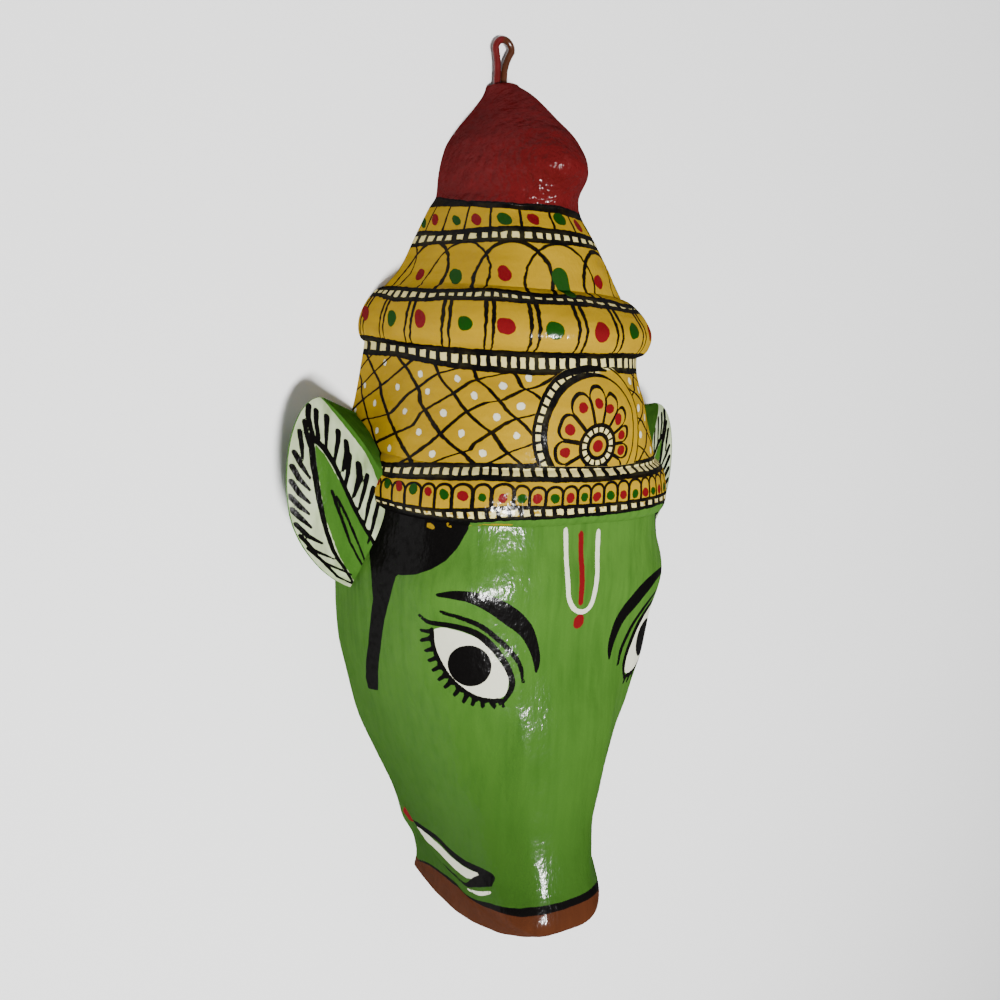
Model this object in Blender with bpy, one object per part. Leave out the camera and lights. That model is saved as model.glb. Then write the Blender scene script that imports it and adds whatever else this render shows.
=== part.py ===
"""Folk papier-mache animal-faced goddess mask lying on its flat back rim, crown toward +Y, face up."""

import math

import bmesh
import bpy
import numpy as np

# Driving sizes in metres
MASK_HEIGHT = 0.2911
HALF_WIDTH = 0.0547
DEPTH = 0.070
WALL = 0.004

# Mouldings on the crown, as rises off the plain form
RING_RISE_FRONT = 0.0062
RING_RISE_SIDE = 0.0034
BAND_RISE_FRONT = 0.0026
BAND_RISE_SIDE = 0.0022

# Soft relief of the face, as rises and hollows off the plain form
EYE_MOUND = 0.0010
BROW_MOUND = 0.0026
NOSE_RIDGE = 0.0009
CHEEK_HOLLOW = 0.0012
JAW_SETBACK = 0.0014

# Where the relief lies and how far it spreads: share of the half width, then of the height
EYE_AT = (0.60, 0.385)
EYE_SPREAD = (0.26, 0.045)
BROW_AT = (0.76, 0.456)
BROW_SPREAD = (0.20, 0.035)
CHEEK_AT = (0.34, 0.335)
CHEEK_SPREAD = (0.12, 0.060)
RIDGE_FOOT = (0.16, 0.10)
RIDGE_HEAD = (0.36, 0.38)
RIDGE_SPREAD = 0.07

# Mouth line on the muzzle's side: share of the height at the back, and its fall to the front
MOUTH_BACK = 0.125
MOUTH_FALL = 0.075
JAW_FRONT = 0.62
JAW_FOOT = 0.055

# Ears
EAR_LENGTH = 0.063
EAR_OUTER_WIDTH = 0.0202
EAR_INNER_WIDTH = 0.0130
EAR_TURN = math.radians(29)
EAR_SPLAY = 0.0148
EAR_CUP = 0.0030
EAR_EDGE_RISE = 0.0200
EAR_ROOT_DROP = 0.0050
EAR_THICKNESS = 0.0040
EAR_EDGE = 0.0018
EAR_BACK_SLOPE = 1.2
EAR_WEB_DROP = 0.0070
EAR_WEB_LOW = 0.0030
EAR_WIDEST = 0.43
EAR_THIN = 0.0006

# Hanging loop
WIRE = 0.0023
LEG_GAP = 0.0003
LOOP_EYE = 0.0039
LOOP_RISE = 0.0154
LOOP_SKIN = 0.00125
LOOP_OFFSET = -0.0006
LOOP_BED = 0.0052
CLEARANCE = 0.0003

# Mesh steps
HEAD_COLUMNS = 36
HOLLOW_COLUMNS = 22
HOLLOW_ROWS = 30
EAR_ROWS = 15
EAR_COLUMNS = 9
EAR_UNDER_POINTS = 7
LOOP_TURN_STEPS = 13
LOOP_LEG_STEPS = 9
WIRE_SIDES = 10

# Heights along the mask, as shares of its height from the chin
CROWN_EDGE = 0.5239
RING_CENTRE = 0.7340
RING_HALF = 0.0310
BAND_CENTRE = 0.5600
BAND_HALF = 0.0275
EAR_ROOT = 0.4277

# Plain form: share of the height, half width, depth and squareness of each section
SECTIONS = [
    (0.0000, 0.000, 0.000, 2.00),
    (0.0020, 0.240, 0.630, 2.15),
    (0.0090, 0.335, 0.675, 2.50),
    (0.0260, 0.322, 0.805, 3.00),
    (0.0530, 0.348, 0.968, 3.25),
    (0.0880, 0.447, 1.120, 3.20),
    (0.1290, 0.512, 1.070, 2.40),
    (0.1910, 0.661, 1.030, 2.02),
    (0.2520, 0.804, 1.032, 2.00),
    (0.3070, 0.885, 1.028, 2.20),
    (0.3620, 0.952, 0.997, 2.50),
    (0.4110, 0.974, 0.984, 2.68),
    (0.4620, 0.978, 0.997, 2.80),
    (0.5140, 0.955, 0.974, 2.85),
    (0.5510, 0.955, 0.964, 2.90),
    (0.5930, 0.925, 0.962, 2.65),
    (0.6470, 0.868, 0.974, 2.20),
    (0.6890, 0.833, 0.922, 2.08),
    (0.7235, 0.808, 0.900, 2.15),
    (0.7600, 0.725, 0.795, 2.27),
    (0.7850, 0.616, 0.762, 2.27),
    (0.8230, 0.518, 0.686, 2.10),
    (0.8570, 0.430, 0.591, 2.00),
    (0.8710, 0.387, 0.622, 1.98),
    (0.8910, 0.381, 0.690, 2.03),
    (0.9220, 0.346, 0.606, 2.14),
    (0.9450, 0.273, 0.488, 2.08),
    (0.9720, 0.158, 0.342, 2.00),
    (0.9920, 0.089, 0.187, 2.00),
    (0.9990, 0.078, 0.125, 2.00),
    (1.0000, 0.000, 0.000, 2.00),
]

# Rows of the head between the sections, as a count per gap from the chin up
ROWS_PER_GAP = 2

# Derived sizes
MIDDLE = (MASK_HEIGHT + LOOP_RISE) / 2
LEG_SPACING = WIRE + LEG_GAP
LOOP_BOW = (LOOP_EYE + WIRE) / 2
LOOP_STAND = WIRE / 2 + CLEARANCE + LOOP_SKIN
UNDERCUT = WALL / 2
BELOW = 2 * WALL


def clear_scene():
    for item in list(bpy.data.objects):
        bpy.data.objects.remove(item, do_unlink=True)


def smooth_curve(knots, values):
    """A monotone cubic through the knots, as a function of the share of the height."""
    x = np.array(knots, float)
    y = np.array(values, float)
    step = np.diff(x)
    slope = np.diff(y) / step
    tangent = np.zeros(len(x))
    tangent[0], tangent[-1] = slope[0], slope[-1]
    for i in range(1, len(x) - 1):
        if slope[i - 1] * slope[i] > 0:
            a = 2 * step[i] + step[i - 1]
            b = step[i] + 2 * step[i - 1]
            tangent[i] = (a + b) / (a / slope[i - 1] + b / slope[i])

    def at(share):
        share = np.clip(share, x[0], x[-1])
        i = np.clip(np.searchsorted(x, share) - 1, 0, len(x) - 2)
        t = (share - x[i]) / step[i]
        h00 = (1 + 2 * t) * (1 - t) ** 2
        h10 = t * (1 - t) ** 2
        h01 = t * t * (3 - 2 * t)
        h11 = t * t * (t - 1)
        return h00 * y[i] + h10 * step[i] * tangent[i] + h01 * y[i + 1] + h11 * step[i] * tangent[i + 1]

    return at


knots = [row[0] for row in SECTIONS]
width_share = smooth_curve(knots, [row[1] for row in SECTIONS])
depth_share = smooth_curve(knots, [row[2] for row in SECTIONS])
squareness = smooth_curve(knots, [row[3] for row in SECTIONS])


def swell(share, centre, half, power):
    """A moulding's profile across its height: 1 on its centre line and 0 at its edges."""
    return np.clip(1 - np.abs((share - centre) / half) ** power, 0, None) ** 0.5


def half_width(share):
    rise = RING_RISE_SIDE * swell(share, RING_CENTRE, RING_HALF, 2.2)
    rise = rise + BAND_RISE_SIDE * swell(share, BAND_CENTRE, BAND_HALF, 4)
    return HALF_WIDTH * width_share(share) + rise


def front_depth(share):
    rise = RING_RISE_FRONT * swell(share, RING_CENTRE, RING_HALF, 2.2)
    rise = rise + BAND_RISE_FRONT * swell(share, BAND_CENTRE, BAND_HALF, 4)
    return DEPTH * depth_share(share) + rise


def side_at(share, z):
    """Half width of the head's outside at a height along the mask and a rise off its back."""
    power = squareness(share)
    rest = np.clip(1 - (np.clip(z, 0, None) / front_depth(share)) ** power, 0, None)
    return half_width(share) * rest ** (1 / power)


def section(width, depth, power, count, foot):
    """Points of one section, evenly spaced, from the left foot over the front to the right foot."""
    t = np.linspace(math.pi, 0, 241)
    x = width * np.sign(np.cos(t)) * np.abs(np.cos(t)) ** (2 / power)
    z = depth * np.abs(np.sin(t)) ** (2 / power)
    walk = np.concatenate([[0], np.cumsum(np.hypot(np.diff(x), np.diff(z)))])
    even = np.linspace(0, walk[-1], count + 1)
    x = np.interp(even, walk, x)
    z = np.interp(even, walk, z)
    z[0] = z[-1] = 0
    return np.concatenate([[x[0]], x, [x[-1]]]), np.concatenate([[-foot], z, [-foot]])


def bump(x, share, centre, spread):
    """A soft round rise centred on both sides of the face at once."""
    across = (np.abs(x) / HALF_WIDTH - centre[0]) / spread[0]
    along = (share - centre[1]) / spread[1]
    return np.exp(-(across ** 2) - along ** 2)


def fade(value, low, high):
    """0 below the low end, 1 above the high end and a straight run between them."""
    return np.clip((value - low) / (high - low), 0, 1)


def mouth_share(z):
    """Height of the mouth line on the muzzle's side at a rise off the back."""
    return MOUTH_BACK - MOUTH_FALL * fade(z, 0, DEPTH)


def relief(x, share, z):
    """Rise of the face off the plain form."""
    eye = EYE_MOUND * bump(x, share, EYE_AT, EYE_SPREAD)
    brow = BROW_MOUND * bump(x, share, BROW_AT, BROW_SPREAD)
    valley = CHEEK_HOLLOW * bump(x, share, CHEEK_AT, CHEEK_SPREAD)
    climb = fade(share, RIDGE_FOOT[1], RIDGE_HEAD[1])
    ridge_at = RIDGE_FOOT[0] + (RIDGE_HEAD[0] - RIDGE_FOOT[0]) * climb
    ridge = NOSE_RIDGE * np.exp(-(((np.abs(x) / HALF_WIDTH - ridge_at) / RIDGE_SPREAD) ** 2))
    ridge = ridge * fade(share, RIDGE_FOOT[1], RIDGE_FOOT[1] + 0.06)
    ridge = ridge * (1 - fade(share, RIDGE_HEAD[1] - 0.02, RIDGE_HEAD[1] + 0.04))
    under_mouth = fade(mouth_share(z), share, share + 0.012) * fade(share, JAW_FOOT, JAW_FOOT + 0.02)
    jaw = JAW_SETBACK * under_mouth * (1 - fade(z / DEPTH, JAW_FRONT - 0.15, JAW_FRONT))
    return eye + brow - valley + ridge - jaw


def head_points():
    """Grid of the head's outside, with its relief, as rows from the chin to the crown's tip."""
    shares = [0.0]
    for low, high in zip(knots[:-1], knots[1:]):
        count = ROWS_PER_GAP if high - low > 0.006 else 1
        shares += [low + (high - low) * (k + 1) / count for k in range(count)]
    edges = [CROWN_EDGE - 0.005, BAND_CENTRE - BAND_HALF, BAND_CENTRE + BAND_HALF]
    edges += [RING_CENTRE - RING_HALF, RING_CENTRE + RING_HALF, RING_CENTRE - 0.85 * RING_HALF]
    shares = np.array(sorted(set(shares + edges)))
    rows = []
    for share in shares[1:-1]:
        x, z = section(half_width(share), front_depth(share), squareness(share), HEAD_COLUMNS, UNDERCUT)
        rows.append(np.stack([x, np.full(len(x), share * MASK_HEIGHT - MIDDLE), z], 1))
    grid = np.array(rows)
    along = np.gradient(grid, axis=0)
    across = np.gradient(grid, axis=1)
    normal = np.cross(across, along)
    normal /= np.linalg.norm(normal, axis=2, keepdims=True) + 1e-12
    rise = relief(grid[:, :, 0], shares[1:-1, None], grid[:, :, 2])
    rise[:, :2] = 0
    rise[:, -2:] = 0
    return grid + normal * rise[:, :, None]


def mesh_object(name, points, faces):
    data = bpy.data.meshes.new(name)
    data.from_pydata([tuple(map(float, p)) for p in points], [], faces)
    item = bpy.data.objects.new(name, data)
    bpy.context.scene.collection.objects.link(item)
    bm = bmesh.new()
    bm.from_mesh(data)
    bmesh.ops.remove_doubles(bm, verts=bm.verts, dist=0.00001)
    bmesh.ops.recalc_face_normals(bm, faces=bm.faces)
    bm.to_mesh(data)
    bm.free()
    return item


def loft(name, rings, start=None, end=None):
    """A closed solid through rings of points, closed at each end by a point or by a flat cap."""
    count = len(rings[0])
    points = [p for ring in rings for p in ring]
    faces = []
    for r in range(len(rings) - 1):
        for c in range(count):
            a, b = r * count + c, r * count + (c + 1) % count
            faces.append((a, b, b + count, a + count))
    ends = [(0, start), ((len(rings) - 1) * count, end)]
    for first, pole in ends:
        if pole is None:
            faces.append(tuple(range(first, first + count)))
        else:
            points.append(pole)
            hub = len(points) - 1
            faces += [(first + c, first + (c + 1) % count, hub) for c in range(count)]
    return mesh_object(name, points, faces)


def apply_boolean(target, tool, operation):
    tool.hide_render = True
    tool.display_type = "WIRE"
    step = target.modifiers.new(operation.lower(), "BOOLEAN")
    step.operation = operation
    step.solver = "EXACT"
    step.object = tool
    depsgraph = bpy.context.evaluated_depsgraph_get()
    result = bpy.data.meshes.new_from_object(target.evaluated_get(depsgraph))
    target.modifiers.clear()
    target.data = result
    bpy.data.objects.remove(tool, do_unlink=True)


def make_head():
    rows = list(head_points())
    chin = (0.0, -MIDDLE, 0.0)
    tip = (0.0, MASK_HEIGHT - MIDDLE, 0.0)
    return loft("mask_shell", rows, chin, tip)


def make_hollow():
    """The inside of the head: the plain form drawn in by the wall, rounded at both ends."""
    low = 1.3 * WALL / MASK_HEIGHT
    high = 1 - (LOOP_BED + CLEARANCE + WALL) / MASK_HEIGHT
    rings = []
    for k in range(1, HOLLOW_ROWS):
        u = (1 - math.cos(math.pi * k / HOLLOW_ROWS)) / 2
        share = low + (high - low) * u
        close = (1 - abs(2 * u - 1) ** 7) ** 0.5
        width = (HALF_WIDTH * width_share(share) - WALL) * close
        depth = (DEPTH * depth_share(share) - WALL) * close
        x, z = section(width, depth, squareness(share), HOLLOW_COLUMNS, BELOW)
        rings.append(np.stack([x, np.full(len(x), share * MASK_HEIGHT - MIDDLE), z], 1))
    ends = [(0.0, share * MASK_HEIGHT - MIDDLE, -BELOW / 2) for share in (low, high)]
    return loft("hollow", rings, ends[0], ends[1])


def ear_span(s):
    """Widths of the ear's leaf outward and inward of its middle line, s running from root to tip."""
    if s < EAR_WIDEST:
        outer = (1 - ((EAR_WIDEST - s) / EAR_WIDEST) ** 2) ** 0.72
    else:
        outer = max(1 - ((s - EAR_WIDEST) / (1 - EAR_WIDEST)) ** 1.6, 0) ** 0.55
    inner = max(1 - (max(s - EAR_WIDEST, 0) / (1 - EAR_WIDEST)) ** 2, 0) ** 0.9
    return max(EAR_OUTER_WIDTH * outer, EAR_THIN), max(EAR_INNER_WIDTH * inner, EAR_THIN)


def ear_face(s):
    """Points across the ear's cupped face from its free edge to its crest."""
    share = EAR_ROOT + s * EAR_LENGTH / MASK_HEIGHT
    outer, inner = ear_span(s)
    root = side_at(EAR_ROOT, EAR_EDGE_RISE - EAR_ROOT_DROP) - WALL * 0.4
    rise = EAR_EDGE_RISE - EAR_ROOT_DROP * max(1 - s / 0.25, 0) ** 2
    h = np.linspace(outer, -inner, EAR_COLUMNS)
    span = np.where(h > 0, h / outer, -h / inner)
    cup = EAR_CUP * min(outer / EAR_OUTER_WIDTH, 1) * (1 - span ** 2)
    x = root + s * EAR_SPLAY + h * math.cos(EAR_TURN) - cup * math.sin(EAR_TURN)
    z = rise + (outer - h) * math.sin(EAR_TURN) - cup * math.cos(EAR_TURN)
    return np.maximum(x, side_at(share, z) - WALL / 2), z, share


def ear_ring(s, side):
    """One closed section of the ear: cupped face, crest, web sloping back to the head, and underside."""
    x, z, share = ear_face(s)
    y = share * MASK_HEIGHT - MIDDLE
    drop = EAR_WEB_DROP * s ** 6
    thick = EAR_THICKNESS * (1 - 0.4 * s ** 6)
    web_share = share - drop / MASK_HEIGHT
    web_z = z[-1] - EAR_BACK_SLOPE * max(x[-1] - side_at(web_share, 0.0) + WALL / 2, 0)
    web_z = min(max(web_z, EAR_WEB_LOW), z[-1] - EAR_THIN)
    web_x = min(side_at(web_share, web_z) - WALL / 2, x[-1] - EAR_THIN)
    points = [(x[i], y, z[i]) for i in range(len(x))]
    points.append((web_x, y - drop, web_z))
    top_x = np.concatenate([[web_x], x[::-1]])
    top_z = np.concatenate([[web_z], z[::-1]])
    for k in range(EAR_UNDER_POINTS):
        under_x = web_x + (x[0] - 0.3 * EAR_EDGE - web_x) * k / (EAR_UNDER_POINTS - 1)
        to_edge = min(max((x[0] - under_x) / (2 * EAR_THICKNESS), 0), 1)
        web = min(max((x[-1] - under_x) / (x[-1] - web_x), 0), 1)
        depth = EAR_EDGE + (1.15 * thick - EAR_EDGE) * to_edge + 0.35 * thick * min(2 * web, 1)
        under_z = max(np.interp(under_x, top_x, top_z) - depth, EAR_THIN)
        points.append((under_x, y - drop * web, under_z))
    return [(side * px, py, pz) for px, py, pz in points]


def make_ear(side):
    rings = [ear_ring(k / EAR_ROWS, side) for k in range(EAR_ROWS + 1)]
    return loft("ear", rings)


def stadium(radius, spacing, count):
    """A slot's outline across the mask: two half circles a spacing apart."""
    points = []
    for k in range(count):
        turn = 2 * math.pi * k / count + 0.0001
        shift = spacing / 2 if math.cos(turn) > 0 else -spacing / 2
        points.append((shift + radius * math.cos(turn), radius * math.sin(turn)))
    return points


def make_bed():
    """The slot in the crown's tip that takes the loop's legs with clearance all round."""
    top = MASK_HEIGHT - MIDDLE
    outline = stadium(WIRE / 2 + CLEARANCE, LEG_SPACING, 20)
    low = top - LOOP_BED - CLEARANCE
    rings = [[(x + LOOP_OFFSET, y, LOOP_STAND + z) for x, z in outline] for y in (low, top + WALL)]
    return loft("bed", rings)


def make_foot_cutter():
    """A block below the back that leaves the rim flat."""
    reach = MASK_HEIGHT + HALF_WIDTH
    corners = [(-reach, -reach), (reach, -reach), (reach, reach), (-reach, reach)]
    rings = [[(x, y, z) for x, y in corners] for z in (-4 * BELOW, 0.0)]
    return loft("foot", rings)


def loop_path():
    """Closed centre line of the hanging loop: two legs, a bow round the nail and a turn in the bed."""
    top = MASK_HEIGHT - MIDDLE
    leg = LEG_SPACING / 2
    crest = top + LOOP_RISE - WIRE / 2 - LOOP_BOW
    low = top - LOOP_BED + WIRE / 2 + leg
    turn = np.linspace(0, math.pi, LOOP_TURN_STEPS)
    rise = np.linspace(0, 1, LOOP_LEG_STEPS)[1:-1]
    spread = np.clip((rise - 0.45) / 0.55, 0, None) ** 2
    foot = np.stack([LOOP_OFFSET - leg * np.cos(turn), low - leg * np.sin(turn)], 1)
    up = low + (crest - low) * rise
    right = np.stack([(LOOP_OFFSET + leg) * (1 - spread) + LOOP_BOW * spread, up], 1)
    bow = np.stack([LOOP_BOW * np.cos(turn), crest + LOOP_BOW * np.sin(turn)], 1)
    left = np.stack([(LOOP_OFFSET - leg) * (1 - spread) - LOOP_BOW * spread, up], 1)
    return np.concatenate([foot, right, bow, left[::-1]])


def make_loop():
    path = loop_path()
    ahead = np.roll(path, -1, axis=0) - np.roll(path, 1, axis=0)
    ahead /= np.linalg.norm(ahead, axis=1, keepdims=True)
    points = []
    for (x, y), (dx, dy) in zip(path, ahead):
        for k in range(WIRE_SIDES):
            turn = 2 * math.pi * k / WIRE_SIDES
            out = WIRE / 2 * math.cos(turn)
            points.append((x + dy * out, y - dx * out, LOOP_STAND + WIRE / 2 * math.sin(turn)))
    rows = len(path)
    faces = []
    for r in range(rows):
        for c in range(WIRE_SIDES):
            a, b = r * WIRE_SIDES + c, r * WIRE_SIDES + (c + 1) % WIRE_SIDES
            n = ((r + 1) % rows - r) * WIRE_SIDES
            faces.append((a, b, b + n, a + n))
    return mesh_object("hanging_loop", points, faces)


def finish(item, colour, roughness, degrees):
    """Weld, smooth shading with crisp edges, and the piece's own material."""
    bm = bmesh.new()
    bm.from_mesh(item.data)
    bmesh.ops.remove_doubles(bm, verts=bm.verts, dist=0.00002)
    bmesh.ops.dissolve_degenerate(bm, edges=bm.edges, dist=0.00002)
    bmesh.ops.triangulate(bm, faces=bm.faces)
    for edge in bm.edges:
        edge.smooth = len(edge.link_faces) == 2 and edge.calc_face_angle(0) < math.radians(degrees)
    for face in bm.faces:
        face.smooth = True
    bm.to_mesh(item.data)
    bm.free()
    material = bpy.data.materials.new(item.name)
    material.use_nodes = True
    shader = material.node_tree.nodes["Principled BSDF"]
    shader.inputs["Base Color"].default_value = colour
    shader.inputs["Roughness"].default_value = roughness
    item.data.materials.clear()
    item.data.materials.append(material)


clear_scene()
shell = make_head()
apply_boolean(shell, make_hollow(), "DIFFERENCE")
for hand in (-1, 1):
    apply_boolean(shell, make_ear(hand), "UNION")
apply_boolean(shell, make_bed(), "DIFFERENCE")
apply_boolean(shell, make_foot_cutter(), "DIFFERENCE")
loop = make_loop()
finish(shell, (0.10, 0.27, 0.04, 1), 0.3, 40)
finish(loop, (0.45, 0.02, 0.02, 1), 0.35, 50)
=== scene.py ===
import math

import bmesh
import bpy
import numpy as np
from mathutils import Matrix, Vector, noise


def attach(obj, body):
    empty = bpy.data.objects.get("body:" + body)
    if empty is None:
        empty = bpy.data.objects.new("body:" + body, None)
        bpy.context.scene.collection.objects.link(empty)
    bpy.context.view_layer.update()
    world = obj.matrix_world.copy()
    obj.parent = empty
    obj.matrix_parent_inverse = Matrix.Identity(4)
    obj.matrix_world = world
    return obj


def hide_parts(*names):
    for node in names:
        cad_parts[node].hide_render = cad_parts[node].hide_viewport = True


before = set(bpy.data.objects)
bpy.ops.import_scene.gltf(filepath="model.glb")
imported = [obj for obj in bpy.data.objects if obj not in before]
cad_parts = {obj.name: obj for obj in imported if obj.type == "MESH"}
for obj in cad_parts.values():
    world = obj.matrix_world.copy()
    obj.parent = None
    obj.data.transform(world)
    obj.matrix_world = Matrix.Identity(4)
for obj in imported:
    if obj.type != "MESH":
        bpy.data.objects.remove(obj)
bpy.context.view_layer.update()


# the mask's form: the same sizes and curves as in its solids, in metres and in shares of the height
form = {
    "height": 0.2911,
    "halfWidth": 0.0547,
    "depth": 0.070,
    "wall": 0.004,
    "loopRise": 0.0154,
    "ring": {"front": 0.0062, "side": 0.0034, "centre": 0.7340, "half": 0.0310, "power": 2.2},
    "band": {"front": 0.0026, "side": 0.0022, "centre": 0.5600, "half": 0.0275, "power": 4},
    "columns": 216,              # across the outside
    "rows": 300,                 # from the chin to the crown's tip
    "endRows": (0.0010, 0.0020, 0.0045, 0.9955, 0.9985, 0.9992),     # closer rows where the ends round off
    "hollowColumns": 44,
    "hollowRows": 60,
    "sharpAngle": math.radians(38),
}
middle = (form["height"] + form["loopRise"]) / 2
mm = 1000                        # millimetres in a metre
sections = [                     # share of the height, half width, depth, squareness
    (0.0000, 0.000, 0.000, 2.00), (0.0020, 0.240, 0.630, 2.15), (0.0090, 0.335, 0.675, 2.50),
    (0.0260, 0.322, 0.805, 3.00), (0.0530, 0.348, 0.968, 3.25), (0.0880, 0.447, 1.120, 3.20),
    (0.1290, 0.512, 1.070, 2.40), (0.1910, 0.661, 1.030, 2.02), (0.2520, 0.804, 1.032, 2.00),
    (0.3070, 0.885, 1.028, 2.20), (0.3620, 0.952, 0.997, 2.50), (0.4110, 0.974, 0.984, 2.68),
    (0.4620, 0.978, 0.997, 2.80), (0.5140, 0.955, 0.974, 2.85), (0.5510, 0.955, 0.964, 2.90),
    (0.5930, 0.925, 0.962, 2.65), (0.6470, 0.868, 0.974, 2.20), (0.6890, 0.833, 0.922, 2.08),
    (0.7235, 0.808, 0.900, 2.15), (0.7600, 0.725, 0.795, 2.27), (0.7850, 0.616, 0.762, 2.27),
    (0.8230, 0.518, 0.686, 2.10), (0.8570, 0.430, 0.591, 2.00), (0.8710, 0.387, 0.622, 1.98),
    (0.8910, 0.381, 0.690, 2.03), (0.9220, 0.346, 0.606, 2.14), (0.9450, 0.273, 0.488, 2.08),
    (0.9720, 0.158, 0.342, 2.00), (0.9920, 0.089, 0.187, 2.00), (0.9990, 0.078, 0.125, 2.00),
    (1.0000, 0.000, 0.000, 2.00),
]


def smoothCurve(x, y):           # a monotone cubic through the knots
    x, y = np.array(x, float), np.array(y, float)
    gap = np.diff(x)
    slope = np.diff(y) / gap
    tangent = np.zeros(len(x))
    tangent[0], tangent[-1] = slope[0], slope[-1]
    for i in range(1, len(x) - 1):
        if slope[i - 1] * slope[i] > 0:
            a, b = 2 * gap[i] + gap[i - 1], gap[i] + 2 * gap[i - 1]
            tangent[i] = (a + b) / (a / slope[i - 1] + b / slope[i])

    def at(share):
        share = np.clip(share, x[0], x[-1])
        i = np.clip(np.searchsorted(x, share) - 1, 0, len(x) - 2)
        t = (share - x[i]) / gap[i]
        rise = (1 + 2 * t) * (1 - t) ** 2 * y[i] + t * t * (3 - 2 * t) * y[i + 1]
        return rise + gap[i] * (t * (1 - t) ** 2 * tangent[i] + t * t * (t - 1) * tangent[i + 1])

    return at


knots = [row[0] for row in sections]
widthShare = smoothCurve(knots, [row[1] for row in sections])
depthShare = smoothCurve(knots, [row[2] for row in sections])
squareness = smoothCurve(knots, [row[3] for row in sections])


def alongAt(share):              # how far up the face a share of the height lies
    return share * form["height"] - middle


def swell(share, way):           # how far the ring and the band stand out to the front or the side
    rise = 0
    for mould in (form["ring"], form["band"]):
        bow = np.clip(1 - np.abs((share - mould["centre"]) / mould["half"]) ** mould["power"], 0, None)
        rise = rise + mould[way] * bow ** 0.5
    return rise


def halfWidth(share):
    return form["halfWidth"] * widthShare(share) + swell(share, "side")


def frontDepth(share):
    return form["depth"] * depthShare(share) + swell(share, "front")


def sideAt(share, z):            # half width of the outside at a rise off the back
    power = squareness(share)
    rest = np.clip(1 - (np.clip(z, 0, None) / frontDepth(share)) ** power, 0, None)
    return halfWidth(share) * rest ** (1 / power)


def sectionArc(width, depth, power):         # a section from rim to rim, and the way walked along it
    t = np.linspace(math.pi, 0, 721)
    x = width * np.sign(np.cos(t)) * np.abs(np.cos(t)) ** (2 / power)
    z = depth * np.abs(np.sin(t)) ** (2 / power)
    walk = np.concatenate([[0], np.cumsum(np.hypot(np.diff(x), np.diff(z)))])
    return x, z, walk


def sectionLine(width, depth, power, count, foot):   # even points on it, with a foot below each rim
    x, z, walk = sectionArc(width, depth, power)
    even = np.linspace(0, walk[-1], count + 1)
    x, z = np.interp(even, walk, x), np.interp(even, walk, z)
    z[0] = z[-1] = 0
    return np.concatenate([[x[0]], x, [x[-1]]]), np.concatenate([[-foot], z, [-foot]])


face = {                         # soft relief: rise, centre and spread as shares of half width and height
    "eye": (0.0010, (0.60, 0.385), (0.26, 0.045)),
    "brow": (0.0026, (0.76, 0.456), (0.20, 0.035)),
    "cheek": (-0.0012, (0.34, 0.335), (0.12, 0.060)),
    "ridge": 0.0009, "ridgeFoot": (0.16, 0.10), "ridgeHead": (0.36, 0.38), "ridgeSpread": 0.07,
    "ridgeStart": 0.06, "ridgeEnd": (0.02, 0.04),
    "jaw": 0.0014, "mouthBack": 0.125, "mouthFall": 0.075, "jawFront": 0.62, "jawFoot": 0.055,
    "lipEdge": 0.012, "jawStart": 0.02, "jawEnd": 0.15,
    "lump": 0.00030, "lumpSizes": ((0.016, 1.0), (0.007, 0.6)),      # hand-laid paper's unevenness
    "lumpEdge": 6,               # columns over which it fades out toward the rim
}


def fade(value, low, high):
    return np.clip((value - low) / (high - low), 0, 1)


def relief(x, share, z):
    side = np.abs(x) / form["halfWidth"]
    rise = 0
    for name in ("eye", "brow", "cheek"):
        height, centre, spread = face[name]
        away = ((side - centre[0]) / spread[0]) ** 2 + ((share - centre[1]) / spread[1]) ** 2
        rise = rise + height * np.exp(-away)
    foot, head = face["ridgeFoot"], face["ridgeHead"]
    ridgeAt = foot[0] + (head[0] - foot[0]) * fade(share, foot[1], head[1])
    ridge = face["ridge"] * np.exp(-((side - ridgeAt) / face["ridgeSpread"]) ** 2)
    before, after = face["ridgeEnd"]
    ridge = ridge * fade(share, foot[1], foot[1] + face["ridgeStart"])
    ridge = ridge * (1 - fade(share, head[1] - before, head[1] + after))
    mouth = face["mouthBack"] - face["mouthFall"] * fade(z, 0, form["depth"])
    under = fade(mouth, share, share + face["lipEdge"])
    under = under * fade(share, face["jawFoot"], face["jawFoot"] + face["jawStart"])
    front = fade(z / form["depth"], face["jawFront"] - face["jawEnd"], face["jawFront"])
    return rise + ridge - face["jaw"] * under * (1 - front)


def lumps(points, size, seed):   # smooth noise at each point, about -1 to 1
    shift = Vector((seed * 3.7, seed * 1.3, seed * 7.1))
    return np.array([noise.noise(Vector(p) / size + shift) for p in points])


def placeSolid(name, mesh):      # an object in the scene whose faces all look outward
    item = bpy.data.objects.new(name, mesh)
    bpy.context.scene.collection.objects.link(item)
    bm = bmesh.new()
    bm.from_mesh(mesh)
    bmesh.ops.recalc_face_normals(bm, faces=bm.faces)
    bm.to_mesh(mesh)
    bm.free()
    return item


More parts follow.
